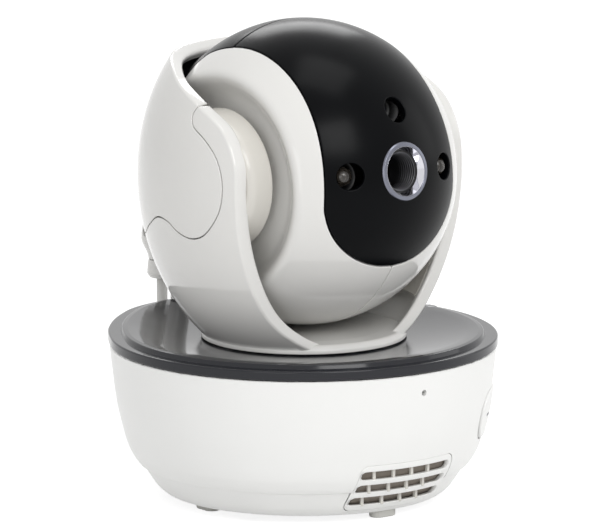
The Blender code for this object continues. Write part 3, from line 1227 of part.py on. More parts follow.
def make_aerial():
    """A post on the lid with a pinned eye, and the aerial that hangs behind the nose and swings up."""
    back = -(AERIAL_Y - AERIAL_POST_Y)
    foot = LID_TOP + GAP - AERIAL_Z
    half = AERIAL_ARM / 2
    rise = 1.9 * MM
    post = turned("aerial_post", [(0.0, rise + 1.4 * MM), (AERIAL_POST_RADIUS * 0.7, rise + 1.0 * MM),
                                  (AERIAL_POST_RADIUS, rise), (AERIAL_POST_RADIUS, foot), (0.0, foot)],
                  AERIAL, WHITE, place=(0.0, back, 0.0), steps=COARSE)
    change(post, box("aerial_arm", (-half, back, -rise), (half, 0.0, rise), AERIAL), "UNION")
    change(post, cylinder("aerial_eye", AERIAL_EYE, -half, half, AERIAL, axis="X", steps=COARSE), "UNION")
    change(post, cylinder("aerial_eye_hole", AERIAL_PIN + GAP, -2 * half, 2 * half, AERIAL, axis="X", steps=TINY))
    cylinder("aerial_pin", AERIAL_PIN, -KNUCKLE_RADIUS * 0.82, KNUCKLE_RADIUS * 0.82, AERIAL, STEEL, axis="X",
             steps=TINY)

    wide = -2.2 * MM
    top = [(KNUCKLE_RADIUS * math.sin(a), wide + (KNUCKLE_TOP - wide) * math.cos(a))
           for a in (math.pi / 2 * i / 4 for i in range(5))]
    run = KNUCKLE_BOTTOM + wide
    below = [(KNUCKLE_NECK + (KNUCKLE_RADIUS - KNUCKLE_NECK) * (1 + math.cos(math.pi * t)) / 2, wide - run * t)
             for t in (0.4, 0.7, 1.0)]
    knuckle = turned("aerial_knuckle", top + below + [(0.0, -KNUCKLE_BOTTOM)], AERIAL, WHITE, steps=MEDIUM)
    change(knuckle, box("knuckle_slot", (-half - GAP, -2 * KNUCKLE_RADIUS, -AERIAL_EYE - 2 * GAP),
                        (half + GAP, 2 * KNUCKLE_RADIUS, 2 * KNUCKLE_TOP), AERIAL))
    reach = AERIAL_Y - AERIAL_POST_Y - AERIAL_POST_RADIUS - GAP
    notch = box("knuckle_notch", (-AERIAL_POST_RADIUS - GAP, -2 * KNUCKLE_RADIUS, 0.0),
                (AERIAL_POST_RADIUS + GAP, 2 * KNUCKLE_RADIUS, 2 * KNUCKLE_TOP), AERIAL)
    change(notch, cylinder("knuckle_sweep", reach, -2 * KNUCKLE_RADIUS, 2 * KNUCKLE_RADIUS, AERIAL, axis="X",
                           steps=MEDIUM))
    change(knuckle, notch)
    change(knuckle, cylinder("knuckle_hole", AERIAL_PIN + GAP, -2 * KNUCKLE_RADIUS, 2 * KNUCKLE_RADIUS, AERIAL,
                             axis="X", steps=TINY))
    sleeve_top = -KNUCKLE_BOTTOM - GAP
    sleeve_end = sleeve_top - SLEEVE_LENGTH
    sleeve = [(0.0, sleeve_top), (KNUCKLE_NECK, sleeve_top), (SLEEVE_RADIUS, sleeve_end + 1.2 * MM),
              (SLEEVE_RADIUS * 0.82, sleeve_end), (0.0, sleeve_end)]
    turned("aerial_sleeve", sleeve, AERIAL, WHITE, steps=MEDIUM)
    rod = [(0.0, sleeve_end - GAP), (ROD_RADIUS, sleeve_end - GAP), (ROD_RADIUS, -ROD_END + 1.0 * MM),
           (ROD_RADIUS * 0.6, -ROD_END), (0.0, -ROD_END)]
    turned("aerial_rod", rod, AERIAL, WHITE, steps=COARSE)


make_base_housing()
make_speaker_grille()
make_volume_key()
make_key_board()
make_bottom_cover()
make_feet()
make_base_screws()
make_top_lid()
window_slab("status_window", 0.0, LID_LOW + GAP, LID_TOP - 0.1 * MM, LAMP)
make_speaker()
make_microphone()
make_main_board()
make_pair_button()
make_dc_socket()
make_power_switch()
make_pan_drive()
make_yoke_shells()
make_yoke_insides(make_tilt_drive())
make_turntable()
make_visor()
make_rear_shell()
make_cheeks()
make_trunnions()
make_lamps(make_lens())
make_aerial()
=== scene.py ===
"""Pan and tilt nursery camera: the dressed pieces, their finishes and the stage, around the packed frame.

Base lengths are measured from the pan axis and the table. Yoke and head lengths are measured from the
point where the pan axis meets the tilt axis, and the front of each part faces -Y.
"""

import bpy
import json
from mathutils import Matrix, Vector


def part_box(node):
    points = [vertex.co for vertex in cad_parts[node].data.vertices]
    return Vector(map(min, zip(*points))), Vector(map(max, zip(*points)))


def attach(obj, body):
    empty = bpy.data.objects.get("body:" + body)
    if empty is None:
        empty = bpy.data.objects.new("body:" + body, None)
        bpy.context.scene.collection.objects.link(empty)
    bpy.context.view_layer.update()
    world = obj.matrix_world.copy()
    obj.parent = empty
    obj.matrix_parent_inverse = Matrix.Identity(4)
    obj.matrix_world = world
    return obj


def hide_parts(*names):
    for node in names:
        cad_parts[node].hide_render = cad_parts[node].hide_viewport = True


bl_info = {
    "name": "Nursery Camera",
    "version": (1, 0, 0),
    "blender": (4, 5, 0),
    "location": "View3D > Sidebar > Nursery",
    "description": "Builds the shells, fittings, finishes and stage of a pan and tilt nursery camera",
    "category": "Object",
}

import json
import math

import bmesh
import bpy
import numpy as np
from bpy.props import FloatProperty, IntProperty, PointerProperty, StringProperty
from bpy.types import Operator, Panel, PropertyGroup
from mathutils import Matrix, Vector
from mathutils.bvhtree import BVHTree
from mathutils.geometry import delaunay_2d_cdt

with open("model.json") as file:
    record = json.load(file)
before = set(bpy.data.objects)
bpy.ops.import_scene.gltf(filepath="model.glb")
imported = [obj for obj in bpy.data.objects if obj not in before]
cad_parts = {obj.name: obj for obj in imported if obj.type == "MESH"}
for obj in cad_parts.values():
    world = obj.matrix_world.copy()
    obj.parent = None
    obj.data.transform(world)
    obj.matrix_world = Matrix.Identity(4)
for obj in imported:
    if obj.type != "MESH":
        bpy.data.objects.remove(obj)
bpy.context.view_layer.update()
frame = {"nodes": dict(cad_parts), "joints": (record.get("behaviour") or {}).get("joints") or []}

MM = 0.001
GAP = 0.3 * MM
SHARP = math.radians(50.0)    # edges of cast pieces that are steeper than this stay sharp
JOINTS = {joint["name"]: joint for joint in frame["joints"]}
AXIS_Y, PIVOT_Z = JOINTS["pan"]["pos_m"][1:]
PAN_AT_REST = math.atan2(JOINTS["tilt"]["axis"][1], JOINTS["tilt"]["axis"][0])
TILT_AT_REST = math.radians(7.5)
BODY_LOW, BODY_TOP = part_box("base_housing")[0][2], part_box("base_housing")[1][2]
LID_LOW = BODY_TOP + GAP
YOKE_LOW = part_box("yoke_front_shell")[0][2] - PIVOT_Z

BASE = Matrix.Translation((0.0, AXIS_Y, 0.0))
YOKE = Matrix.Translation((0.0, AXIS_Y, PIVOT_Z)) @ Matrix.Rotation(PAN_AT_REST, 4, "Z")
HEAD = YOKE @ Matrix.Rotation(-TILT_AT_REST, 4, "X")
AERIAL_ASIDE = -1.5 * MM    # how far the aerial stands beside the middle of its joint
AERIAL = Matrix.Translation(JOINTS["aerial_fold"]["pos_m"]) @ Matrix.Translation((AERIAL_ASIDE, 0.0, 0.0))


# ---------------------------------------------------------------- settings

def length(name, text, millimetres):
    """A size in metres with its name, what it means and its default."""
    return FloatProperty(name=name, description=text, default=millimetres * MM, min=0.0, unit="LENGTH",
                         precision=4)


def hue(name, text, code):
    """A colour written as an sRGB hex value."""
    return StringProperty(name=name, description=text, default=code)


class NC_BaseSizes(PropertyGroup):
    """Sizes of the round base and its lid."""
    drum_radius: length("Drum radius", "Radius of the base at the top of its body", 54.0)
    nose_radius: length("Nose radius", "Radius of the narrower round end at the back", 30.0)
    nose_offset: length("Nose offset", "From the pan axis back to the nose's centre", 32.5)
    swell: length("Side swell", "How far the sides swell between the drum and the nose", 2.2)
    foot_height: length("Foot height", "Height of the tray above the table", 1.8)
    wall: length("Wall", "Thickness of the moulded walls", 2.0)
    lid_side: length("Lid side", "Height of the lid's side", 2.6)
    lid_step: length("Lid step", "Rise from the lid's rim to its top", 1.2)
    lid_dish: length("Lid dish", "Depth of the hollow round the yoke", 2.0)
    grille_half: length("Grille half width", "Half of the grille panel's width", 16.0)
    slot_half: length("Slot half length", "Half of a grille slot's length", 15.05)
    slot_height: length("Slot height", "Height of a grille slot", 2.4)
    slot_pitch: length("Slot pitch", "Distance between grille slots", 4.05)
    slot_count: IntProperty(name="Slots", description="Rows of slots in the grille", default=3, min=1, max=6)
    key_half: length("Key half length", "Half of the volume key's length", 16.0)
    key_height: length("Key half height", "Half of the volume key's height", 6.7)


class NC_YokeSizes(PropertyGroup):
    """Sizes of the egg-shaped yoke."""
    radius: length("Radius", "Radius of the yoke at the tilt axis", 46.2)
    above: length("Egg above", "Half axis of the egg above the tilt axis", 54.0)
    below: length("Egg below", "Half axis of the egg below the tilt axis", 57.0)
    foot_radius: length("Foot radius", "Radius of the yoke's foot", 28.3)
    front: length("Front edge", "From the pan axis forward to the arms' front edge", 19.5)
    edge: length("Edge thickness", "Thickness of the thickened edge", 4.3)
    wall: length("Wall", "Thickness of the shell behind its edge", 1.8)
    band: length("Edge band", "Width of the thickened edge on the inside", 2.6)
    outer_round: length("Outer rounding", "Rounding of the edge on the outside", 0.65)
    drum_radius: length("Drum radius", "Radius of the round bosses that carry the head", 19.6)
    drum_rise: length("Drum rise", "Height of the bosses' middle above the tilt axis", 1.6)
    drum_face: length("Drum face", "From the pan axis to the face of each boss", 29.2)
    seam: length("Seam", "Width of the joint line of the rear cover", 0.34)


class NC_HeadSizes(PropertyGroup):
    """Sizes of the ball head."""
    radius: length("Radius", "Radius of the ball", 42.6)
    wall: length("Wall", "Thickness of the ball's shells", 2.2)
    dish_floor: length("Dish floor", "From the pan axis to the floor of the dish", 26.0)
    rear_edge: length("Rear edge", "From the tilt axis back to the rear shell's edge", 14.5)
    visor_top: length("Visor half width", "Half of the visor's width at the top", 21.3)
    visor_wide: length("Visor widest", "Half of the visor's width at its widest", 23.6)
    visor_chin: length("Visor chin", "Height of the visor's round lower end", 20.0)
    ring_radius: length("Lens ring radius", "Outer radius of the chrome ring", 8.15)
    ring_width: length("Lens ring width", "Width of the chrome ring's face", 1.25)
    lamp_hole: length("Lamp hole", "Radius of the lamp windows", 3.75)
    sensor_hole: length("Sensor hole", "Radius of the light sensor's window", 3.5)
    lamp_radius: length("Lamp radius", "Radius of an infra-red lamp", 2.7)
    ridges: IntProperty(name="Barrel ridges", description="Rings inside the lens barrel", default=10, min=3,
                        max=24)


class NC_Colours(PropertyGroup):
    """Colours of the finishes, as sRGB hex values."""
    gloss_white: hue("Yoke and head white", "Glossy moulded ABS", "E2E1DE")
    satin_white: hue("Base white", "Satin moulded ABS", "F4F4F2")
    anthracite: hue("Lid grey", "Glossy anthracite ABS", "232429")
    visor_black: hue("Visor black", "Polished infra-red polycarbonate", "040507")
    liner_black: hue("Liner black", "Matt black ABS", "111112")
    chrome: hue("Chrome", "Plated lens ring", "7B7D88")
    rubber: hue("Rubber", "Grey thermoplastic rubber", "CFCEC9")
    steel: hue("Steel", "Zinc plated steel", "B4B6B8")


class NC_Stage(PropertyGroup):
    """Camera and light."""
    azimuth: FloatProperty(name="Azimuth", description="Camera's turn about the upright axis",
                           unit="ROTATION", default=math.radians(-37.1))
    elevation: FloatProperty(name="Elevation", description="Camera's height angle", unit="ROTATION",
                             default=math.radians(10.83))
    distance: length("Distance", "From the camera to the part", 2200.0)
    lens: FloatProperty(name="Focal length", description="Focal length in millimetres", default=475.2)
    fill: FloatProperty(name="Fill", description="Strength of the soft surroundings", default=0.62)


GROUPS = (("nc_base", NC_BaseSizes), ("nc_yoke", NC_YokeSizes), ("nc_head", NC_HeadSizes),
          ("nc_colours", NC_Colours), ("nc_stage", NC_Stage))


def base():
    return bpy.context.scene.nc_base


def yoke():
    return bpy.context.scene.nc_yoke


def head():
    return bpy.context.scene.nc_head


# ---------------------------------------------------------------- lines

def mm(*sizes):
    """Millimetres as metres."""
    return tuple(size * MM for size in sizes)


def raised(low, points, out=0.0):
    """Part of a profile, from millimetres out from a radius and up from a height, and a rounding."""
    return [(out + point[0] * MM, low + point[1] * MM) + mm(*point[2:]) for point in points]


def at_height(outline, height):
    return np.column_stack([outline, np.full(len(outline), height)])


def flowing(points, steps=8):
    """A smooth line through a few points."""
    points = [np.asarray(point, float) for point in points]
    ends = [points[0]] + points + [points[-1]]
    line = []
    for a, b, c, d in zip(ends, ends[1:], ends[2:], ends[3:]):
        for i in range(steps):
            t = i / steps
            line.append(0.5 * (2 * b + (c - a) * t + (2 * a - 5 * b + 4 * c - d) * t * t
                               + (3 * b - a - 3 * c + d) * t ** 3))
    line.append(points[-1])
    return np.array(line)


def whole_turn(count):
    """Angles spread over a full turn."""
    return np.linspace(0.0, math.tau, count, endpoint=False)


def run_along(line):
    """How far along a line each of its points lies."""
    return np.concatenate([[0.0], np.cumsum(np.linalg.norm(np.diff(line, axis=0), axis=1))])


def even(line, spacing, closed=False):
    """The same line with its points spread evenly."""
    line = np.asarray(line, float)
    if closed:
        line = np.vstack([line, line[:1]])
    run = run_along(line)
    count = max(int(round(run[-1] / spacing)), 8)
    where = np.linspace(0.0, run[-1], count + 1)
    out = np.column_stack([np.interp(where, run, line[:, k]) for k in range(line.shape[1])])
    return out[:-1] if closed else out


def trimmed(line, start, end):
    """A line without a length at its start and its end."""
    run = run_along(line)
    total = run[-1]
    start, end = min(start, 0.45 * total), total - min(end, 0.45 * total)
    keep = (run > start) & (run < end)
    ends = [[np.interp(where, run, line[:, k]) for k in range(line.shape[1])] for where in (start, end)]
    return np.vstack([[ends[0]], line[keep], [ends[1]]])


def rounded_loop(lines, radii, spacing):
    """Join lines end to end into one loop; each rounding belongs to the corner where its line starts."""
    parts = [trimmed(even(line, spacing / 3), start, end)
             for line, start, end in zip(lines, radii, radii[1:] + radii[:1])]
    out = []
    t = np.linspace(0.0, 1.0, 12)[1:-1, None]
    for line, part, follow in zip(lines, parts, parts[1:] + parts[:1]):
        out += [part, (1 - t) ** 2 * part[-1] + 2 * t * (1 - t) * line[-1] + t ** 2 * follow[0]]
    return even(np.vstack(out), spacing, closed=True)


def eased(points, closed=False, steps=4):
    """A profile whose corners are rounded: each point is (u, v) or (u, v, rounding)."""
    count = len(points)
    out = []
    for i, point in enumerate(points):
        here = np.array(point[:2], float)
        size = point[2] if len(point) > 2 else 0.0
        if size <= 0.0 or (not closed and i in (0, count - 1)):
            out.append(here)
            continue
        before = np.array(points[i - 1][:2], float) - here
        after = np.array(points[(i + 1) % count][:2], float) - here
        la, lb = np.linalg.norm(before), np.linalg.norm(after)
        before, after = before / la, after / lb
        half = math.acos(max(-1.0, min(1.0, float(before @ after)))) / 2
        reach = min(size / max(math.tan(half), 1e-6), 0.45 * la, 0.45 * lb)
        real = reach * math.tan(half)
        bisector = before + after
        middle = here + bisector / max(np.linalg.norm(bisector), 1e-9) * real / max(math.sin(half), 1e-6)
        first, last = here + before * reach, here + after * reach
        out.append(here + before * min(reach * 1.25, 0.48 * la))
        turn = math.pi - 2 * half
        start = first - middle
        side = (last - middle) - start * math.cos(turn)
        side = side / max(np.linalg.norm(side), 1e-12) * np.linalg.norm(start)
        for k in range(steps + 1):
            angle = turn * k / steps
            out.append(middle + start * math.cos(angle) + side * math.sin(angle))
        out.append(here + after * min(reach * 1.25, 0.48 * lb))
    return [tuple(point) for point in out]


def round_edge(radius, wall, support=0.35 * MM, steps=4):
    """Stations beside an edge, from the outer skin over the rounding and the wall to the inner skin.

    Each station is (distance in from the edge, depth under the skin, which skin's normal it takes).
    """
    inner = 0.15 * MM    # the inner corner's small rounding
    stations = [(radius + support, 0.0, 1), (radius, 0.0, 1)]
    for k in range(1, steps + 1):
        angle = math.pi / 2 * k / steps
        stations.append((radius - radius * math.sin(angle), radius - radius * math.cos(angle), 0))
    stations += [(0.0, wall - inner, 0), (inner, wall, 0), (inner + support, wall, -1)]
    return stations


# ---------------------------------------------------------------- surfaces

class Ball:
    """The head's ball, laid flat about a direction that the piece faces."""

    def __init__(self, radius, facing, right):
        self.radius = radius
        self.facing = np.array(Vector(facing).normalized())
        across = Vector(right) - Vector(facing).normalized() * Vector(right).dot(Vector(facing).normalized())
        self.right = np.array(across.normalized())
        self.up = np.cross(self.right, self.facing)

    def lift(self, uv, depth=0.0):
        uv = np.asarray(uv, float)
        reach = np.hypot(uv[:, 0], uv[:, 1])
        angle = (reach / self.radius)[:, None]
        safe = np.maximum(reach, 1e-12)[:, None]
        side = (uv[:, :1] * self.right + uv[:, 1:2] * self.up) / safe
        way = np.cos(angle) * self.facing + np.sin(angle) * side
        return way * (self.radius - np.reshape(depth, (-1, 1)))

    def drop(self, points):
        way = points / np.linalg.norm(points, axis=1)[:, None]
        angle = np.arccos(np.clip(way @ self.facing, -1.0, 1.0))
        side = np.column_stack([way @ self.right, way @ self.up])
        side /= np.maximum(np.linalg.norm(side, axis=1), 1e-12)[:, None]
        return side * (angle * self.radius)[:, None]

    def normal(self, uv):
        return self.lift(uv) / self.radius


class Egg:
    """The yoke's egg, unrolled about the pan axis from the middle of its back."""
    level_from, level_over = 0.9, 0.5             # radians from the back where a depth turns level
    hood_from, hood_over = 25.0 * MM, 7.5 * MM    # heights where a depth turns square to the hood

    def __init__(self, size, floor):
        self.size = size
        self.floor = floor

    def radius(self, height):
        height = np.maximum(height, self.floor)
        half = np.where(height > 0.0, self.size.above, self.size.below)
        return self.size.radius * np.sqrt(1.0 - (height / half) ** 2)

    def lift(self, uv, depth=0.0):
        uv = np.asarray(uv, float)
        turn = uv[:, 0] / self.size.radius
        whole = self.radius(uv[:, 1])
        reach = whole - depth
        # towards the arms' front a depth goes in level and sideways, so the edge's face looks forward
        level = np.arccos(np.clip(whole * np.cos(turn) / reach, -0.975, 0.975)) * np.sign(turn + 1e-12)
        share = np.clip((np.abs(turn) - self.level_from) / self.level_over, 0.0, 1.0)
        keep = (depth == 0.0) | (np.abs(np.cos(turn)) > 0.974)
        turn = turn + np.where(keep, 0.0, share * share * (3 - 2 * share) * (level - turn))
        # under the hood a depth goes straight through the sloping shell
        slope = np.arctan2(uv[:, 1] / self.size.above ** 2, whole / self.size.radius ** 2)
        rise = np.clip((uv[:, 1] - self.hood_from) / self.hood_over, 0.0, 1.0)
        slope = slope * rise * rise * (3 - 2 * rise)
        reach = whole - depth * np.cos(slope)
        return np.column_stack([reach * np.sin(turn), reach * np.cos(turn), uv[:, 1] - depth * np.sin(slope)])

    def drop(self, points):
        return np.column_stack([np.arctan2(points[:, 0], points[:, 1]) * self.size.radius, points[:, 2]])

    def side(self, line):
        """Where a line seen from the side (y, z) lies on the egg, on the +X side."""
        line = np.asarray(line, float)
        share = np.clip(line[:, 0] / self.radius(line[:, 1]), -1.0, 1.0)
        return np.column_stack([np.arccos(share) * self.size.radius, line[:, 1]])

    def normal(self, uv):
        return slope_normal(self, uv)


class Wall:
    """The base's side wall, unrolled from the middle of its front."""

    def __init__(self, size, side):
        self.size = size
        self.spread = math.acos((size.drum_radius - size.nose_radius) / size.nose_offset)
        self.edge = math.pi - self.spread
        self.along = math.cos(self.edge), math.sin(self.edge)
        self.drum_run = size.drum_radius * self.edge
        self.flat_run = math.sqrt(size.nose_offset ** 2 - (size.drum_radius - size.nose_radius) ** 2)
        self.half = self.drum_run + self.flat_run + size.nose_radius * self.spread
        line = flowing(side, 10)
        order = np.argsort(line[:, 0])
        self.heights, self.insets = line[order, 0], line[order, 1]

    def inset(self, height):
        return np.interp(height, self.heights, self.insets)

    def plan(self, run, inset=0.0, height=0.0):
        """A point of the plan outline, drawn in by an inset."""
        size, (tx, ty) = self.size, self.along
        run = np.asarray(run, float)
        far = np.abs(run)
        past_flat = np.maximum(far - self.drum_run - self.flat_run, 0.0)
        turn = np.where(far < self.drum_run, far / size.drum_radius, self.edge + past_flat / size.nose_radius)
        nx, ny = np.sin(turn), -np.cos(turn)
        on_flat = np.clip(far - self.drum_run, 0.0, self.flat_run)
        on_nose = far > self.drum_run + self.flat_run
        x = np.where(on_nose, size.nose_radius * nx, size.drum_radius * nx + on_flat * tx)
        y = np.where(on_nose, size.nose_offset + size.nose_radius * ny, size.drum_radius * ny + on_flat * ty)
        # the sides swell a little between the two rounds, and the swell fades out well into both
        spill = 17.0 * MM
        share = np.clip((far - self.drum_run + spill) / (self.flat_run + 2 * spill), 0.0, 1.0)
        swell = size.swell * np.sin(math.pi * share) ** 2
        x, y = x + (swell - inset) * nx, y + (swell - inset) * ny
        return np.column_stack([np.sign(run + 1e-12) * x, y, np.zeros_like(x) + height])

    def lift(self, uv, depth=0.0):
        uv = np.asarray(uv, float)
        return self.plan(uv[:, 0], self.inset(uv[:, 1]) + depth, uv[:, 1])

    def drop(self, points):
        size, (tx, ty) = self.size, self.along
        x, y = np.abs(points[:, 0]), points[:, 1]
        drum, nose = np.arctan2(x, -y), np.arctan2(x, -(y - size.nose_offset))
        on_flat = (x - size.drum_radius * ty) * tx + (y + size.drum_radius * tx) * ty
        run = np.where(drum < self.edge, drum * size.drum_radius,
                       np.where(nose > self.edge,
                                self.drum_run + self.flat_run + (nose - self.edge) * size.nose_radius,
                                self.drum_run + np.clip(on_flat, 0.0, self.flat_run)))
        return np.column_stack([np.sign(points[:, 0] + 1e-12) * run, points[:, 2]])

    def normal(self, uv):
        return slope_normal(self, uv)


def slope_normal(surface, uv):
    """The outward normal of a surface, from small steps along it."""
    uv = np.asarray(uv, float)
    step = 2e-5
    du = surface.lift(uv + (step, 0.0)) - surface.lift(uv - (step, 0.0))
    dv = surface.lift(uv + (0.0, step)) - surface.lift(uv - (0.0, step))
    normal = np.cross(du, dv)
    normal /= np.maximum(np.linalg.norm(normal, axis=1), 1e-15)[:, None]
    under = surface.lift(uv, step) - surface.lift(uv)
    normal[np.einsum("ij,ij->i", normal, under) > 0.0] *= -1.0
    return normal


# ---------------------------------------------------------------- shells

def inside(loops, points):
    """Which flat points lie inside an outer loop and outside its holes."""
    odd = np.zeros(len(points), bool)
    for loop in loops:
        a, b = loop, np.roll(loop, -1, axis=0)
        for start in range(0, len(points), 2000):
            part = points[start:start + 2000]
            px, py = part[:, :1], part[:, 1:2]
            crosses = (a[:, 1] > py) != (b[:, 1] > py)
            with np.errstate(divide="ignore", invalid="ignore"):
                where = (b[:, 0] - a[:, 0]) * (py - a[:, 1]) / (b[:, 1] - a[:, 1]) + a[:, 0]
            odd[start:start + 2000] ^= (np.sum(crosses & (px < where), axis=1) % 2).astype(bool)
    return odd


class Shell:
    """Points, chosen normals and faces of one piece, welded by place when it is made."""

    def __init__(self):
        self.points, self.normals, self.faces = [], [], []
        self.count = 0

    def row(self, points, normals=None):
        points = np.asarray(points, float).reshape(-1, 3)
        blank = np.full(points.shape, np.nan)
        self.points.append(points)
        self.normals.append(blank if normals is None else np.asarray(normals, float))
        self.count += len(points)
        return np.arange(self.count - len(points), self.count)

    def strip(self, upper, lower, closed=True):
        count = len(upper)
        for i in range(count if closed else count - 1):
            j = (i + 1) % count
            self.faces.append((upper[i], upper[j], lower[j], lower[i]))

    def strips(self, rows, around=False, closed=True):
        """Faces between each row and the next one, and with around also back to the first row."""
        for upper, lower in zip(rows, rows[1:] + (rows[:1] if around else [])):
            self.strip(upper, lower, closed)

    def column(self, rows):
        """Faces between rows that lie one above the other, and a flat face at both ends."""
        self.strips(rows)
        self.faces += [tuple(rows[0]), tuple(rows[-1])]

    def fan(self, row, tip):
        """Faces from a closed row to one point."""
        self.faces += [(row[i], row[(i + 1) % len(row)], tip) for i in range(len(row))]

    def edge(self, surface, loop, stations, hole=False, others=None, share=None):
        """Rows of points beside a loop, on its inside or, for a hole, on its outside.

        Where share is 1 a point follows the other stations instead.
        """
        start = surface.lift(loop)
        ahead = np.roll(start, -1, axis=0) - np.roll(start, 1, axis=0)
        ahead /= np.linalg.norm(ahead, axis=1)[:, None]
        across = np.cross(surface.normal(loop), ahead)
        first = surface.drop(start + across * 0.2 * MM)
        if (inside([loop], first).mean() > 0.5) == hole:
            across = -across
        rows = []
        share = np.zeros(len(loop)) if share is None else share
        for (away, depth, skin), (away_2, depth_2, skin_2) in zip(stations, others or stations):
            reach = away + (away_2 - away) * share
            spots = surface.drop(start + across * reach[:, None])
            normals = None
            if skin and skin_2:
                normals = surface.normal(spots) * skin
            rows.append((self.row(surface.lift(spots, depth + (depth_2 - depth) * share), normals), spots))
        self.strips([ids for ids, _ in rows])
        return rows

    def patch(self, surface, rows, spacing, depth=0.0, skin=1):
        """Fill the space between rows on a surface: the first row is the outline, the others are holes."""
        loops = [spots for _, spots in rows]
        everything = np.vstack(loops)
        low, high = everything.min(axis=0), everything.max(axis=0)
        xs = np.arange(low[0], high[0], spacing)
        ys = np.arange(low[1], high[1], spacing * 0.866)
        grid = np.array([(x + (spacing / 2 if k % 2 else 0.0), y) for k, y in enumerate(ys) for x in xs])
        grid = grid[inside(loops, grid)]
        near = np.full(len(grid), 1.0)
        for start in range(0, len(everything), 400):
            block = everything[start:start + 400]
            gaps = np.hypot(grid[:, :1] - block[:, 0], grid[:, 1:2] - block[:, 1]).min(axis=1)
            near = np.minimum(near, gaps)
        grid = grid[near > 0.6 * spacing]
        flat = np.vstack([everything, grid])
        edges, start = [], 0
        for loop in loops:
            count = len(loop)
            edges += [(start + i, start + (i + 1) % count) for i in range(count)]
            start += count
        corners = [Vector(p) for p in flat / MM]
        found, _, faces, origin, _, _ = delaunay_2d_cdt(corners, edges, [], 0, 1e-6, True)
        made = self.row(surface.lift(grid, depth), surface.normal(grid) * skin)
        index = np.concatenate([np.concatenate([ids for ids, _ in rows]), made])
        lookup, extra = [], []
        for k, point in enumerate(found):
            if origin[k]:
                lookup.append(index[origin[k][0]])
            else:
                extra.append((k, (point[0] * MM, point[1] * MM)))
                lookup.append(-1)
        if extra:
            spots = np.array([spot for _, spot in extra])
            ids = self.row(surface.lift(spots, depth), surface.normal(spots) * skin)
            for (k, _), number in zip(extra, ids):
                lookup[k] = number
        places = np.array([(p[0], p[1]) for p in found]) * MM
        triangles = np.array([face for face in faces if len(face) == 3])
        middle = places[triangles].mean(axis=1)
        for face in triangles[inside(loops, middle)]:
            self.faces.append(tuple(lookup[k] for k in face))

    def skins(self, surface, rings, outer, inner, wall, depth=0.0):
        """Fill both skins between the first and the last rows beside an edge and beside its holes."""
        self.patch(surface, [ring[0] for ring in rings], outer, depth)
        self.patch(surface, [ring[-1] for ring in rings], inner, wall, skin=-1)

    def turned(self, profile, steps=96, closed=False):
        """Turn a profile of (radius, height) points about Z."""
        turns = whole_turn(steps)
        rows = []
        for radius, height in profile:
            circle = np.column_stack([radius * np.cos(turns), radius * np.sin(turns)])
            rows.append(self.row(at_height(circle[:1] if radius < 1e-7 else circle, height)))
        for upper, lower in zip(rows, rows[1:] + (rows[:1] if closed else [])):
            if len(upper) > len(lower):
                self.fan(upper, lower[0])
            elif len(lower) > len(upper):
                self.fan(lower, upper[0])
            elif len(upper) > 1:
                self.strip(upper, lower)
        return self

    def move(self, matrix):
        """Place all that has been made so far."""
        turn = np.array(matrix.to_3x3())
        shift = np.array(matrix.translation)
        self.points = [points @ turn.T + shift for points in self.points]
        self.normals = [normals @ turn.T for normals in self.normals]
        return self

    def bend(self, rule):
        self.points = [rule(points.copy()) for points in self.points]
        return self

    def mirror(self):
        """Make the partner on the -X side from a piece of the +X side."""
        flip = (-1.0, 1.0, 1.0)
        self.normals = [normals * flip for normals in self.normals]
        return self.bend(lambda points: points * flip)

    def add(self, other):
        for points, normals in zip(other.points, other.normals):
            self.points.append(points)
            self.normals.append(normals)
        self.faces += [tuple(k + self.count for k in face) for face in other.faces]
        self.count += other.count
        return self

    def mesh(self, name):
        """A welded mesh with outward faces, and its normals."""
        points = np.vstack(self.points)
        normals = np.vstack(self.normals)
        keys = np.round(points / 2e-7).astype(np.int64)
        _, first, index = np.unique(keys, axis=0, return_index=True, return_inverse=True)
        index = index.reshape(-1)
        faces = []
        for face in self.faces:
            corners = []
            for k in face:
                k = int(index[k])
                if not corners or corners[-1] != k:
                    corners.append(k)
            if len(corners) > 1 and corners[0] == corners[-1]:
                corners.pop()
            if len(set(corners)) == len(corners) and len(corners) > 2:
                faces.append(corners)
        mesh = bpy.data.meshes.new(name)
        mesh.from_pydata([tuple(p) for p in points[first]], [], faces)
        shape = bmesh.new()
        shape.from_mesh(mesh)
        bmesh.ops.recalc_face_normals(shape, faces=shape.faces)
        shape.to_mesh(mesh)
        shape.free()
        mesh.shade_smooth()
        chosen = normals[first]
        own = np.zeros(len(mesh.vertices) * 3)
        mesh.vertices.foreach_get("normal", own)
        own = own.reshape(-1, 3)
        good = ~np.isnan(chosen[:, 0])
        good[good] &= np.einsum("ij,ij->i", chosen[good], own[good]) > 0.5
        own[good] = chosen[good]
        return mesh, own


def linked(name, data):
    """A new object in the scene."""
    made = bpy.data.objects.new(name, data)
    bpy.context.scene.collection.objects.link(made)
    return made


def after_modifiers(thing):
    """A new mesh of an object as its modifiers leave it."""
    bpy.context.view_layer.update()
    graph = bpy.context.evaluated_depsgraph_get()
    return bpy.data.meshes.new_from_object(thing.evaluated_get(graph))


def set_normals(mesh, normals):
    mesh.normals_split_custom_set_from_vertices([tuple(n) for n in normals])


def as_piece(name, mesh, look, body, stands_for=()):
    """Put a finished mesh in the scene as a piece that rides on a body."""
    piece = linked(name, mesh)
    mesh.materials.clear()
    mesh.materials.append(FINISHES[look])
    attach(piece, body)
    if stands_for:
        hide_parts(*([stands_for] if isinstance(stands_for, str) else stands_for))
    return piece


def make(shell, name, look, body, stands_for=(), place=None):
    """Finish a shell that needs no cuts."""
    if place is not None:
        shell.move(place)
    mesh, normals = shell.mesh(name)
    set_normals(mesh, normals)
    return as_piece(name, mesh, look, body, stands_for)


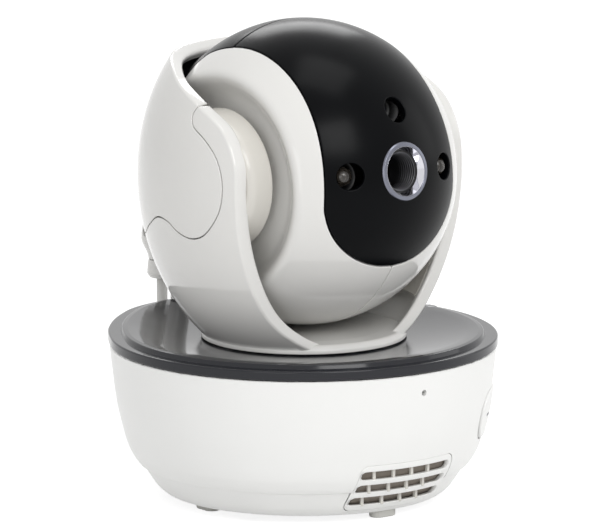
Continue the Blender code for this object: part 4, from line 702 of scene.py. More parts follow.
def flat_mesh(shell, name="cutter"):
    """The shell's mesh alone, for a cutter or an item that is repeated."""
    return shell.mesh(name)[0]


def carve(shell, name, cuts, place=None, keep=(), join=()):
    """Join, keep and cut a shell with solids, and give its uncut faces their smooth normals back.

    Each solid is a mesh that is used once, and it is placed together with the shell.
    """
    cutters = [(operation, solid) for operation, solids in (("UNION", join), ("INTERSECT", keep),
                                                            ("DIFFERENCE", cuts)) for solid in solids]
    if place is not None:
        shell.move(place)
        for _, cutter in cutters:
            cutter.transform(place)
    mesh, normals = shell.mesh(name)
    places = [vertex.co.copy() for vertex in mesh.vertices]
    faces = [tuple(face.vertices) for face in mesh.polygons]
    tree = BVHTree.FromPolygons(places, faces)
    work = linked(name + "_work", mesh)
    tools = []
    for operation, cutter in cutters:
        tool = linked(name + "_tool", cutter)
        tools.append(tool)
        step = work.modifiers.new("cut", "BOOLEAN")
        step.operation, step.object, step.solver = operation, tool, "EXACT"
    result = after_modifiers(work)
    for tool in tools + [work]:
        bpy.data.objects.remove(tool, do_unlink=True)
    result.name = name
    result.shade_smooth()
    loops = []
    for face in result.polygons:
        for k in face.vertices:
            place = result.vertices[k].co
            spot, direction, number, gap = tree.find_nearest(place)
            if gap is not None and gap < 3e-5 and direction.dot(face.normal) > 0.8:
                corners = faces[number]
                weights = [1.0 / max((places[c] - spot).length, 1e-7) for c in corners]
                total = sum(weights)
                blend = Vector((0.0, 0.0, 0.0))
                for c, weight in zip(corners, weights):
                    blend += Vector(normals[c]) * (weight / total)
                if blend.normalized().dot(face.normal) > 0.5:
                    loops.append(blend.normalized())
                    continue
            loops.append(face.normal.copy())
    result.normals_split_custom_set(loops)
    return result


# ---------------------------------------------------------------- finishes

def linear(code):
    """An sRGB hex value as a linear colour."""
    parts = [int(code[i:i + 2], 16) / 255.0 for i in (0, 2, 4)]
    return tuple(c / 12.92 if c <= 0.04045 else ((c + 0.055) / 1.055) ** 2.4 for c in parts) + (1.0,)


def node(tree, kind, inputs=None, **settings):
    """Add a node with its settings; an input is a value, or a (node, output) pair that is linked."""
    made = tree.nodes.new(kind)
    for name, value in settings.items():
        setattr(made, name, value)
    for key, value in (inputs or {}).items():
        socket = made.inputs[key]
        if isinstance(value, tuple) and len(value) == 2 and isinstance(value[0], bpy.types.Node):
            tree.links.new(value[0].outputs[value[1]], socket)
        else:
            socket.default_value = value
    return made


def blank_material(name):
    """A material whose node tree is empty."""
    material = bpy.data.materials.new(name)
    material.use_nodes = True
    material.node_tree.nodes.clear()
    return material, material.node_tree


def finish(name, code, roughness, grain, depth, spread, tone, extra=None):
    """A surface with a fine grain in its form and a slow drift in its colour and gloss.

    grain is the size of the texture and depth its height, both in millimetres. tone and spread are how
    far the colour and the roughness drift, in clouds of 9 mm.
    """
    material, tree = blank_material(name)
    place = node(tree, "ShaderNodeTexCoord")
    fine = node(tree, "ShaderNodeTexNoise", {"Vector": (place, "Object"), "Scale": 1.0 / (grain * MM),
                                             "Detail": 3.0, "Roughness": 0.55})
    slow = node(tree, "ShaderNodeTexNoise", {"Vector": (place, "Object"), "Scale": 1.0 / (9.0 * MM),
                                             "Detail": 2.0})
    colour = linear(code)
    low = tuple(c * (1.0 - tone) for c in colour[:3]) + (1.0,)
    high = tuple(min(c * (1.0 + tone), 1.0) for c in colour[:3]) + (1.0,)
    drift = node(tree, "ShaderNodeMix", {0: (slow, "Fac"), 6: low, 7: high}, data_type="RGBA")
    gloss = node(tree, "ShaderNodeMapRange", {"Value": (slow, "Fac"), "From Min": 0.3, "From Max": 0.7,
                                              "To Min": max(roughness - spread / 2, 0.0),
                                              "To Max": roughness + spread / 2})
    bump = node(tree, "ShaderNodeBump", {"Height": (fine, "Fac"), "Strength": 1.0, "Distance": depth * MM})
    shader = node(tree, "ShaderNodeBsdfPrincipled", {"Base Color": (drift, 2), "Roughness": (gloss, "Result"),
                                                     "Normal": (bump, "Normal")})
    for key, value in (extra or {}).items():
        shader.inputs[key].default_value = value
    node(tree, "ShaderNodeOutputMaterial", {"Surface": (shader, "BSDF")})
    material.diffuse_color = colour
    return material


def coated_glass():
    """Front lens: dark glass whose coating turns violet, then green, towards the edge."""
    material, tree = blank_material("Coated lens glass")
    facing = node(tree, "ShaderNodeLayerWeight", {"Blend": 0.45})
    ramp = node(tree, "ShaderNodeValToRGB", {"Fac": (facing, "Facing")})
    ramp.color_ramp.elements[0].color = linear("07060D")
    ramp.color_ramp.elements[1].color = linear("0B1A16")
    middle = ramp.color_ramp.elements.new(0.5)
    middle.color = linear("1A1030")
    shader = node(tree, "ShaderNodeBsdfPrincipled", {"Base Color": (ramp, "Color"), "Roughness": 0.03,
                                                     "IOR": 1.7, "Coat Weight": 0.6})
    node(tree, "ShaderNodeOutputMaterial", {"Surface": (shader, "BSDF")})
    return material


def clear_epoxy(name, code):
    """Cast epoxy of a lamp: clear and a little smoky, with faint flow lines from casting."""
    material, tree = blank_material(name)
    place = node(tree, "ShaderNodeTexCoord")
    flow = node(tree, "ShaderNodeTexNoise", {"Vector": (place, "Object"), "Scale": 700.0, "Detail": 2.0})
    bump = node(tree, "ShaderNodeBump", {"Height": (flow, "Fac"), "Strength": 1.0, "Distance": 0.04 * MM})
    shader = node(tree, "ShaderNodeBsdfPrincipled",
                  {"Base Color": linear(code), "Roughness": 0.06, "IOR": 1.52,
                   "Transmission Weight": 0.85, "Normal": (bump, "Normal")})
    node(tree, "ShaderNodeOutputMaterial", {"Surface": (shader, "BSDF")})
    return material


FINISHES = {}


def make_finishes(colours):
    """The finishes of the part, each named for its material and how its surface was made."""
    metal = {"Metallic": 1.0}
    for key, *settings in (
            # Polished mould: mirror-like and barely wavy, so reflections of the lid stay readable.
            ("gloss white", "Polished moulded ABS white", colours.gloss_white, 0.09, 2.6, 0.004, 0.03, 0.012),
            # Fine spark-eroded mould: soft highlights and a faint even grain, drawn at 0.45 mm to show.
            ("satin white", "Spark-textured ABS white", colours.satin_white, 0.40, 0.45, 0.006, 0.06, 0.010),
            # The same ABS inside the yoke and behind the grille: duller where the mould is left plain, and
            # painted darker and warmer as the shade that falls there.
            ("shade-painted white", "ABS white painted with inside shade", "D6D3CC", 0.22, 0.9, 0.005, 0.06, 0.02),
            # Pigmented ABS from a polished mould: dark, with a reflection that softens at the edges.
            ("anthracite", "Polished moulded ABS anthracite", colours.anthracite, 0.11, 1.8, 0.003, 0.04,
             0.03, {"Specular IOR Level": 0.33}),
            # Infra-red passing polycarbonate: near black and smooth, highlights roll off softly.
            ("visor", "Polished IR polycarbonate", colours.visor_black, 0.24, 2.2, 0.002, 0.04, 0.10,
             {"Specular IOR Level": 0.08}),
            # Plain black mould inside: dull, so that it swallows what light gets in.
            ("liner", "Moulded ABS matt black", colours.liner_black, 0.55, 0.5, 0.010, 0.10, 0.10),
            # Turned and bright plated: a hard reflection broken by faint turning marks.
            ("chrome", "Bright plated brass ring", colours.chrome, 0.26, 0.35, 0.003, 0.06, 0.04, metal),
            ("mirror", "Polished plated brass", "D2D2D8", 0.07, 1.2, 0.002, 0.03, 0.02, metal),
            # The barrel's black crests, painted grey as a highlight so that they show as fine grey lines.
            ("ridge", "PC crests painted with highlight grey", "55555A", 0.34, 0.6, 0.003, 0.06, 0.05),
            # Thin black-brown yarn with no gloss at all, painted a lighter grey-brown all over, as if light
            # falls on it everywhere.
            ("cloth", "Speaker cloth painted lit grey-brown", "847C73", 0.85, 0.5, 0.030, 0.10, 0.06),
            ("barrel", "Ribbed moulded PC black", "101011", 0.30, 0.4, 0.006, 0.10, 0.10),
            # Soft moulded rubber: chalky, without a highlight.
            ("rubber", "Moulded TPE grey", colours.rubber, 0.72, 0.35, 0.020, 0.10, 0.05),
            # Pressed sheet with bright zinc: a broad, slightly cloudy reflection.
            ("steel", "Zinc plated pressed steel", colours.steel, 0.34, 0.6, 0.006, 0.12, 0.05, metal),
            # Gears and bushes: milky, with a soft waxy sheen.
            ("acetal", "Moulded acetal", "DAD8CF", 0.38, 0.8, 0.006, 0.08, 0.02),
            # Solder mask over glass cloth: an even colour with the weave faintly raised.
            ("board", "Glass epoxy board green", "2C6B45", 0.35, 0.6, 0.010, 0.12, 0.10),
            ("mask", "Glass epoxy board black", "121314", 0.45, 0.6, 0.006, 0.10, 0.10),
            ("paper", "Pressed paper cone", "23221F", 0.85, 0.4, 0.030, 0.10, 0.15),
            ("smoked", "Smoked window acrylic", "1B1C22", 0.10, 1.5, 0.003, 0.04, 0.05),
            ("print", "Pad printed ink grey", "6A6D74", 0.45, 0.3, 0.004, 0.08, 0.05)):
        FINISHES[key] = finish(*settings)
    FINISHES["glass"] = coated_glass()
    FINISHES["epoxy"] = clear_epoxy("Cast lamp epoxy", "645C53")


# ---------------------------------------------------------------- repeated pieces

def copies_tree():
    """Geometry Nodes: an item on each point, turned and sized by the point's own values."""
    tree = bpy.data.node_groups.get("Place copies")
    if tree:
        return tree
    tree = bpy.data.node_groups.new("Place copies", "GeometryNodeTree")
    face = tree.interface
    face.new_socket("Geometry", in_out="INPUT", socket_type="NodeSocketGeometry")
    face.new_socket("Item", in_out="INPUT", socket_type="NodeSocketObject")
    size = face.new_socket("Item size", in_out="INPUT", socket_type="NodeSocketFloat")
    size.default_value = 1.0
    face.new_socket("Finish", in_out="INPUT", socket_type="NodeSocketMaterial")
    face.new_socket("Geometry", in_out="OUTPUT", socket_type="NodeSocketGeometry")
    start = node(tree, "NodeGroupInput")
    item = node(tree, "GeometryNodeObjectInfo", {"Object": (start, "Item")})
    turn = node(tree, "GeometryNodeInputNamedAttribute", {"Name": "turn"}, data_type="FLOAT_VECTOR")
    scale = node(tree, "GeometryNodeInputNamedAttribute", {"Name": "size"}, data_type="FLOAT_VECTOR")
    sized = node(tree, "ShaderNodeVectorMath", {0: (scale, "Attribute"), "Scale": (start, "Item size")},
                 operation="SCALE")
    put = node(tree, "GeometryNodeInstanceOnPoints",
               {"Points": (start, "Geometry"), "Instance": (item, "Geometry"),
                "Rotation": (turn, "Attribute"), "Scale": (sized, "Vector")})
    real = node(tree, "GeometryNodeRealizeInstances", {"Geometry": (put, "Instances")})
    dressed = node(tree, "GeometryNodeSetMaterial", {"Geometry": (real, "Geometry"),
                                                     "Material": (start, "Finish")})
    node(tree, "NodeGroupOutput", {"Geometry": (dressed, "Geometry")})
    return tree


def copies(name, item, spots, look, body, stands_for=()):
    """One piece from an item and (place, turn, size) spots, through the copies tree."""
    points = bpy.data.meshes.new(name + "_points")
    points.from_pydata([spot[0] for spot in spots], [], [])
    for key, part, default in (("turn", 1, (0.0, 0.0, 0.0)), ("size", 2, (1.0, 1.0, 1.0))):
        values = points.attributes.new(key, "FLOAT_VECTOR", "POINT")
        flat = [c for spot in spots for c in (spot[part] if len(spot) > part else default)]
        values.data.foreach_set("vector", flat)
    holder, source = linked(name + "_holder", points), linked(name + "_item", item)
    tree = copies_tree()
    step = holder.modifiers.new("copies", "NODES")
    step.node_group = tree
    given = {"Item": source, "Finish": FINISHES[look]}
    for socket in tree.interface.items_tree:
        if socket.item_type == "SOCKET" and socket.in_out == "INPUT" and socket.name in given:
            step[socket.identifier] = given[socket.name]
    result = after_modifiers(holder)
    bpy.data.objects.remove(holder, do_unlink=True)
    bpy.data.objects.remove(source, do_unlink=True)
    result.name = name
    return as_piece(name, result, look, body, stands_for)


# ---------------------------------------------------------------- base

# The sides of the base, from the bottom up: (inset in millimetres, share of the height).
BODY_SIDE = ((0.3, 1.0), (2.2, 0.52), (4.0, 0.27), (5.4, 0.13), (7.4, 0.03), (8.4, 0.0))
TRAY_SIDE = ((9.1, 1.0), (11.8, 0.46), (13.4, 0.21), (15.1, 0.05), (17.0, 0.0))
PANEL_LOW, PANEL_HIGH = 3.6 * MM, 17.8 * MM    # the grille panel's lower and upper edge
SOCKET_HEIGHT = 22 * MM
SCREW_INSET = 18.0 * MM                        # from the drum's radius in to the ring of screws
ROUND_COUNT = 220                              # points in a row round the whole wall


def body_line():
    return [(BODY_LOW + share * (BODY_TOP - BODY_LOW), inset * MM) for inset, share in BODY_SIDE]


def body_wall(size):
    return Wall(size, body_line())


def tray_wall(size):
    low = size.foot_height
    return Wall(size, [(low + share * (BODY_LOW - GAP - low), inset * MM) for inset, share in TRAY_SIDE])


def front_wall(size):
    """The drum's side carried down to the table without its crease, for the grille."""
    drop = BODY_LOW - PANEL_LOW
    return Wall(size, body_line() + [(BODY_LOW - share * drop, inset * MM)
                                     for inset, share in ((9.7, 0.35), (11.5, 0.72), (13.6, 1.15))])


def around(wall, count):
    return np.linspace(-wall.half, wall.half, count, endpoint=False)


def wall_rows(shell, wall, levels, depth=0.0, skin=0):
    """Rows round the whole wall at some heights."""
    rows = []
    for level in levels:
        spots = at_height(around(wall, ROUND_COUNT), level)
        normals = wall.normal(spots) * skin if skin else None
        rows.append(shell.row(wall.lift(spots, depth), normals))
    return rows


def plan_rows(shell, wall, corners, count=ROUND_COUNT):
    """Rows of the plan outline, each drawn in by an inset, at a height."""
    return [shell.row(wall.plan(around(wall, count), inset, height)) for inset, height in corners]


def rounded_block(low, high, radius):
    """A block with round edges."""
    shape = bmesh.new()
    bmesh.ops.create_cube(shape, size=1.0)
    size = [b - a for a, b in zip(low, high)]
    bmesh.ops.scale(shape, vec=size, verts=shape.verts)
    bmesh.ops.translate(shape, vec=[(a + b) / 2 for a, b in zip(low, high)], verts=shape.verts)
    if radius > 0.0:
        bmesh.ops.bevel(shape, geom=shape.edges[:], offset=radius, segments=3, affect="EDGES", profile=0.5)
    mesh = bpy.data.meshes.new("block")
    shape.to_mesh(mesh)
    shape.free()
    mesh.shade_smooth()
    mesh.set_sharp_from_angle(angle=SHARP)
    return mesh


def capsule(half_length, half_height):
    """A level outline with round ends."""
    run = half_length - half_height
    turns = np.linspace(-math.pi / 2, math.pi / 2, 15)
    right = np.column_stack([run + half_height * np.cos(turns), half_height * np.sin(turns)])
    return np.vstack([right, -right])


def rectangle(half, tall):
    return np.array([(-half, -tall), (half, -tall), (half, tall), (-half, tall)])


def prism(outline, low, high, matrix):
    """A cutter: a flat outline given a thickness along its own Z."""
    shell = Shell()
    shell.column([shell.row(at_height(outline, height)) for height in (high, low)])
    return flat_mesh(shell.move(matrix))


def round_bar(radius, low, high, steps=48):
    return Shell().turned([(0.0, low), (radius, low), (radius, high), (0.0, high)], steps)


def bar(radius, low, high, matrix, steps=48):
    """A cutter: a round bar along its own Z."""
    return flat_mesh(round_bar(radius, low, high, steps).move(matrix))


def wall_frame(wall, run, height):
    """A frame on the wall: X along the wall, Y up, Z outwards and level."""
    place = wall.lift([(run, height)])[0]
    ahead = wall.lift([(run + 1e-4, height)])[0] - wall.lift([(run - 1e-4, height)])[0]
    along = Vector((ahead[0], ahead[1], 0.0)).normalized()
    out = along.cross(Vector((0.0, 0.0, 1.0)))
    if out.dot(Vector(wall.normal([(run, height)])[0])) < 0.0:
        out = -out
    matrix = Matrix((along, Vector((0.0, 0.0, 1.0)), out)).transposed().to_4x4()
    matrix.translation = place
    return matrix


FRONT = Matrix(((1, 0, 0, 0), (0, 0, -1, 0), (0, 1, 0, 0), (0, 0, 0, 1)))    # own Z towards -Y, own Y up


def grille_outline(size, extra):
    low, high, half, r = PANEL_LOW - extra, PANEL_HIGH + extra, size.grille_half + extra, 2.5 * MM
    turns = [np.linspace(a, a + math.pi / 2, 7) for a in (-math.pi / 2, 0.0, math.pi / 2, math.pi)]
    centres = ((half - r, low + r), (half - r, high - r), (-half + r, high - r), (-half + r, low + r))
    return np.vstack([np.column_stack([cx + r * np.cos(t), cy + r * np.sin(t)])
                      for (cx, cy), t in zip(centres, turns)])


def panel_opening(size):
    return prism(grille_outline(size, 0.06 * MM), 30 * MM, 70 * MM, FRONT)


def socket_frames(wall):
    """The power socket's and the switch's frames, 28 degrees round the nose on each side of the rear."""
    run = wall.half - wall.size.nose_radius * math.radians(28.0)
    return [wall_frame(wall, side, SOCKET_HEIGHT) for side in (run, -run)]


def key_spot(wall):
    return (math.pi - math.radians(127.5)) * wall.size.drum_radius, 24.6 * MM


def screw_places(size):
    """The four base screws, as (x, y) from the pan axis."""
    ring = size.drum_radius - SCREW_INSET
    return [(ring * math.cos(math.radians(a)), ring * math.sin(math.radians(a))) for a in (30, 150, 210, 330)]


class NC_OT_finishes(Operator):
    """Make the finishes and give them to the frame's own solids"""
    bl_idname = "nursery.finishes"
    bl_label = "Finishes"

    def execute(self, context):
        make_finishes(context.scene.nc_colours)
        inside_parts = {
            "steel": ("speaker_basket", "speaker_magnet", "microphone", "pan_motor", "tilt_motor",
                      "aerial_pin"),
            "paper": ("speaker_cone",),
            "rubber": ("microphone_boot",),
            "board": ("main_board", "key_board"),
            "mask": ("sensor_board", "lamp_board"),
            "liner": ("power_switch_body", "hood_liner"),
            "acetal": ("bearing_ring", "retaining_ring", "pan_gear", "tilt_gear", "pan_pinion",
                       "tilt_pinion", "trunnion_left", "trunnion_right", "tilt_bush_left", "tilt_bush_right"),
        }
        for kind, names in inside_parts.items():
            for name in names:
                slots = frame["nodes"][name].material_slots
                if not slots:
                    raise RuntimeError(f"{name} has no material slot")
                for slot in slots:
                    slot.material = FINISHES[kind]
        return {"FINISHED"}


class NC_OT_base_body(Operator):
    """The white drum of the base with its openings"""
    bl_idname = "nursery.base_body"
    bl_label = "Base body"

    def execute(self, context):
        size = base()
        wall = body_wall(size)
        shell = Shell()
        top, low = BODY_TOP, BODY_LOW
        rows = plan_rows(shell, wall, [(wall.inset(top) + e * MM, top - d * MM)
                                       for e, d in ((2.0, 0.0), (0.6, 0.0), (0.3, 0.02))])
        rows += wall_rows(shell, wall, [top - 0.28 * MM, top - 0.6 * MM], skin=1)
        rows += wall_rows(shell, wall, np.linspace(top - 1.4 * MM, low + 0.55 * MM, 34), skin=1)
        bottom = wall.inset(low)
        rows += plan_rows(shell, wall, [(bottom + e * MM, low + d * MM)
                                        for e, d in ((-0.02, 0.10), (0.02, 0.03), (0.2, 0.0), (2.6, 0.0))])
        rows += wall_rows(shell, wall, np.linspace(low + 1.6 * MM, top - 1.0 * MM, 10), depth=size.wall)
        shell.strips(rows, around=True)
        near, far = -12 * MM, 12 * MM
        mic = FRONT @ Matrix.Translation((1.1 * MM, BODY_TOP - 5.45 * MM, 0.0))
        socket, switch = socket_frames(wall)
        key = capsule(size.key_half + GAP, size.key_height + GAP)
        cuts = [panel_opening(size), prism(key, near, far, wall_frame(wall, *key_spot(wall))),
                bar(0.85 * MM, 40 * MM, 70 * MM, mic), bar(4.0 * MM, near, far, socket),
                prism(rectangle(3.5 * MM, 1.8 * MM), -8 * MM, 8 * MM, switch)]
        mesh = carve(shell, "base_body_shell", cuts, BASE)
        as_piece("base_body_shell", mesh, "satin white", "base", "base_housing")
        return {"FINISHED"}


class NC_OT_base_tray(Operator):
    """The lower tray with its screw wells, seats and button hole"""
    bl_idname = "nursery.base_tray"
    bl_label = "Base tray"

    def execute(self, context):
        size = base()
        wall = tray_wall(size)
        shell = Shell()
        top, low = BODY_LOW - 0.06 * MM, size.foot_height
        rows = plan_rows(shell, wall, [(wall.inset(top) + e * MM, top - d * MM)
                                       for e, d in ((2.0, 0.0), (0.2, 0.0), (0.03, 0.03))])
        rows += wall_rows(shell, wall, [top - 0.12 * MM, top - 0.5 * MM], skin=1)
        rows += wall_rows(shell, wall, np.linspace(top - 0.9 * MM, low + 0.02 * MM, 22), skin=1)
        flat = wall.inset(low)
        rows += plan_rows(shell, wall, [(flat + e * MM, low) for e in (0.8, 2.0, 6.0)])
        shell.strips(rows)
        shell.fan(rows[-1], shell.row([(0.0, 8 * MM, low)])[0])
        inner = plan_rows(shell, wall, [(wall.inset(top) + 2.1 * MM, top - 1.2 * MM),
                                        (flat + 3.2 * MM, low + 2 * MM)])
        shell.strips(rows[:1] + inner)
        shell.fan(inner[1], shell.row([(0.0, 8 * MM, low + 2 * MM)])[0])

        def bars(radius, start, stop):
            """One cutter of four round bars, one at each screw"""
            group = Shell()
            for x, y in screw_places(size):
                group.add(round_bar(radius, start, stop).move(Matrix.Translation((x, y, 0.0))))
            return flat_mesh(group)

        button = bar(3.35 * MM, -1 * MM, 8 * MM, Matrix.Translation((-12 * MM, 0.0, 0.0)))
        cuts = [panel_opening(size), bars(3.0 * MM, -1 * MM, top + 5 * MM), button]
        mesh = carve(shell, "base_tray_shell", cuts, BASE)
        as_piece("base_tray_shell", mesh, "satin white", "base", "bottom_cover")
        solid = Shell()
        levels = np.linspace(top - 0.4 * MM, low + 0.05 * MM, 24)
        solid.column(wall_rows(solid, wall, levels, depth=0.05 * MM))
        bores = [bars(2.95 * MM, -1 * MM, top - 3.2 * MM), bars(1.2 * MM, -1 * MM, 20 * MM)]
        wells = carve(solid, "screw_wells", bores, BASE, keep=[bars(4.3 * MM, -1 * MM, 20 * MM)])
        as_piece("screw_wells", wells, "satin white", "base")
        return {"FINISHED"}


class NC_OT_lid(Operator):
    """The dark dished lid with its stepped rim"""
    bl_idname = "nursery.lid"
    bl_label = "Lid"

    def execute(self, context):
        size = base()
        wall = body_wall(size)
        count = 260
        shell = Shell()
        low, rim = LID_LOW, LID_LOW + size.lid_side
        top, dish = rim + size.lid_step, rim + size.lid_step - size.lid_dish
        profile = eased(raised(low, ((2.6, 0.0), (0.0, 0.0, 0.25)))
                        + raised(rim, ((0.0, 0.0, 0.42), (3.45, 0.0, 0.12)))
                        + raised(top, ((4.05, -0.12, 0.35), (5.3, 0.0, 0.3), (7.2, -0.10))))
        rows = plan_rows(shell, wall, profile, count)
        edge = wall.plan(around(wall, count), 7.2 * MM)
        reach = np.hypot(edge[:, 0], edge[:, 1])
        way = edge[:, :2] / reach[:, None]
        inner = yoke().foot_radius - 1.0 * MM
        start = top - 0.10 * MM
        for k in range(1, 15):
            t = k / 14
            radius = reach + (inner - reach) * t
            height = dish + (start - dish) * (1 - t) ** 1.35
            rows.append(shell.row(at_height(way * radius[:, None], height)))
        seat, bore = 22.5 * MM, 9.2 * MM
        for radius, height in ((seat, dish), (seat, dish - 1.5 * MM), (bore, dish - 1.5 * MM),
                               (bore, dish - 4.9 * MM), (bore + 2.2 * MM, dish - 4.9 * MM),
                               (bore + 2.2 * MM, dish - 3.5 * MM), (seat + 2 * MM, dish - 3.5 * MM),
                               (31.0 * MM, dish - 2.0 * MM)):
            rows.append(shell.row(at_height(way * radius, height)))
        rows += plan_rows(shell, wall, ((5.4 * MM, top - 2.2 * MM), (4.6 * MM, low - 1.8 * MM),
                                        (2.7 * MM, low - 1.8 * MM)), count)
        shell.strips(rows, around=True)
        x, y = size.drum_radius - 5.0 * MM, 5.8 * MM
        window = Matrix.Translation((x, y, 0.0)) @ Matrix.Rotation(math.pi / 2 + math.atan2(y, x), 4, "Z")
        cut = prism(capsule(2.5 * MM, 1.7 * MM), low + 1.2 * MM, top + 3 * MM, window)
        mesh = carve(shell, "lid_shell", [cut], BASE)
        as_piece("lid_shell", mesh, "anthracite", "base", "top_lid")
        pane = Shell()
        line = capsule(2.25 * MM, 1.45 * MM)
        middle = line.mean(axis=0)
        pane.column([pane.row(at_height(middle + (line - middle) * s, h))
                     for s, h in ((1.0, low + 1.4 * MM), (1.0, rim + 0.75 * MM), (0.96, rim + 1.0 * MM),
                                  (0.82, rim + 1.1 * MM))])
        make(pane, "status_window_pane", "smoked", "base", "status_window",
             BASE @ window)
        return {"FINISHED"}


class NC_OT_grille(Operator):
    """The grille panel with its slots, the ribs behind them and the loudspeaker's cloth"""
    bl_idname = "nursery.grille"
    bl_label = "Grille"

    def execute(self, context):
        size = base()
        wall = front_wall(size)
        shell = Shell()
        thick = 1.6 * MM

        def on_wall(flat):
            """Points seen straight from the front, carried on to the round wall"""
            reach = size.drum_radius - wall.inset(flat[:, 1])
            turn = np.arcsin(np.clip(flat[:, 0] / reach, -1, 1))
            return np.column_stack([turn * size.drum_radius, flat[:, 1]])

        outline = even(grille_outline(size, 0.0), 0.55 * MM, closed=True)
        rows = shell.edge(wall, on_wall(outline), round_edge(0.35 * MM, thick))
        middle = (PANEL_LOW + PANEL_HIGH) / 2
        centre_row = (size.slot_count - 1) / 2
        levels = [middle + (row - centre_row) * size.slot_pitch for row in range(size.slot_count)]
        slot = even(capsule(size.slot_half, size.slot_height / 2), 0.45 * MM, closed=True)
        stations = round_edge(0.3 * MM, thick, support=0.2 * MM)
        holes = [shell.edge(wall, on_wall(slot + (-0.3 * MM, level)), stations, hole=True)
                 for level in levels]
        shell.skins(wall, [rows] + holes, 1.1 * MM, 1.6 * MM, thick)
        make(shell, "grille_panel", "satin white", "base", "speaker_grille", BASE)
        rib = rounded_block(mm(-0.45, -1.1, -1.6), mm(0.45, 0.0, 1.6), 0.2 * MM)
        rib.transform(Matrix.Rotation(math.pi, 4, "Z"))
        spots = []
        for level in levels:
            for x in (-11.3, -5.2, 1.0, 7.2):
                run = on_wall(np.array([(x * MM, level)]))[0]
                place = wall.lift([run], thick - 0.7 * MM)[0]
                spots.append(((place[0], place[1] + AXIS_Y, place[2]), (0.0, 0.0, run[0] / size.drum_radius)))
        # the ribs take the white that is painted darker as the shade in the slots
        copies("grille_ribs", rib, spots, "shade-painted white", "base")
        cloth = Shell()
        across, heights = np.linspace(-16.2, 16.2, 60) * MM, np.linspace(4.4, 17.2, 5) * MM
        section = [(height, 1.85 * MM) for height in heights]
        section += [(height, 2.1 * MM) for height in heights[::-1]]
        rows = [cloth.row(wall.lift(on_wall(at_height(across, height)), depth)) for height, depth in section]
        cloth.strips(rows, around=True, closed=False)
        cloth.faces += [tuple(row[end] for row in rows) for end in (0, -1)]
        # the black-brown cloth is painted a lighter grey-brown, as if lit
        make(cloth, "grille_backing", "cloth", "base", place=BASE)
        return {"FINISHED"}


class NC_OT_volume_key(Operator):
    """The curved volume rocker with its two printed marks"""
    bl_idname = "nursery.volume_key"
    bl_label = "Volume key"

    def execute(self, context):
        size = base()
        wall = body_wall(size)
        run, height = key_spot(wall)
        loop = even(capsule(size.key_half, size.key_height), 0.6 * MM, closed=True) + (run, height)
        shell = Shell()
        proud, thick = 0.5 * MM, 1.8 * MM
        stations = [(a, d - proud, s) for a, d, s in round_edge(0.7 * MM, thick + proud, steps=6)]
        rows = shell.edge(wall, loop, stations)
        shell.skins(wall, [rows], 1.5 * MM, 2.5 * MM, thick, -proud)
        make(shell, "volume_key", "satin white", "volume_rocker", "volume_rocker",
             BASE)
        marks = Shell()
        for centre, half, tall in ((-9.5, 1.6, 0.32), (9.5, 1.6, 0.32), (9.5, 0.32, 1.6)):
            corners = even(rectangle(half, tall) * MM, 0.3 * MM, closed=True) + (run + centre * MM, height)
            marks.column([marks.row(wall.lift(corners, depth - proud)) for depth in mm(-0.03, 0.05)])
        make(marks, "volume_marks", "print", "volume_rocker", place=BASE)
        return {"FINISHED"}


class NC_OT_feet(Operator):
    """Rubber feet and base screws"""
    bl_idname = "nursery.feet"
    bl_label = "Feet and screws"

    def execute(self, context):
        size = base()
        foot = Shell()
        outline = capsule(4.0 * MM, 2.2 * MM)
        foot.column([foot.row(at_height(outline * (1 - shrink), height * MM))
                     for shrink, height in ((0.0, 2.35), (0.0, 0.4), (0.03, 0.12), (0.10, 0.0))])
        ring = size.drum_radius - 20.8 * MM
        half = math.pi / 2
        spots = [((0.0, -ring - 2.6 * MM + AXIS_Y, 0.0),), ((ring, AXIS_Y, 0.0), (0.0, 0.0, half)),
                 ((0.0, ring + 9.3 * MM + AXIS_Y, 0.0),), ((-ring, AXIS_Y, 0.0), (0.0, 0.0, half))]
        mesh = flat_mesh(foot, "foot")
        mesh.set_sharp_from_angle(angle=SHARP)
        copies("rubber_feet", mesh, spots, "rubber", "base",
               [f"rubber_foot_{k}" for k in (1, 2, 3, 4)])
        top = BODY_LOW - GAP - 3.5 * MM
        screw = Shell().turned(eased(raised(top, (
            (0.0, -1.7), (0.7, -1.7), (1.0, -1.25), (2.3, -1.0, 0.3), (2.55, -0.4, 0.2), (2.55, 0.0, 0.1),
            (1.35, 0.0), (1.35, 9.0), (0.0, 9.0)))), 32)
        cross = [rounded_block((-w * MM, -h * MM, top - 2.4 * MM), (w * MM, h * MM, top - 0.7 * MM), 0.0)
                 for w, h in ((0.3, 1.5), (1.5, 0.3))]
        head_mesh = carve(screw, "screw", cross)
        spots = [((x, y + AXIS_Y, 0.0), (0.0, 0.0, math.radians(turn)))
                 for (x, y), turn in zip(screw_places(size), (12, 40, 71, 25))]
        copies("tray_screws", head_mesh, spots, "steel", "base",
               [f"base_screw_{k}" for k in (1, 2, 3, 4)])
        return {"FINISHED"}


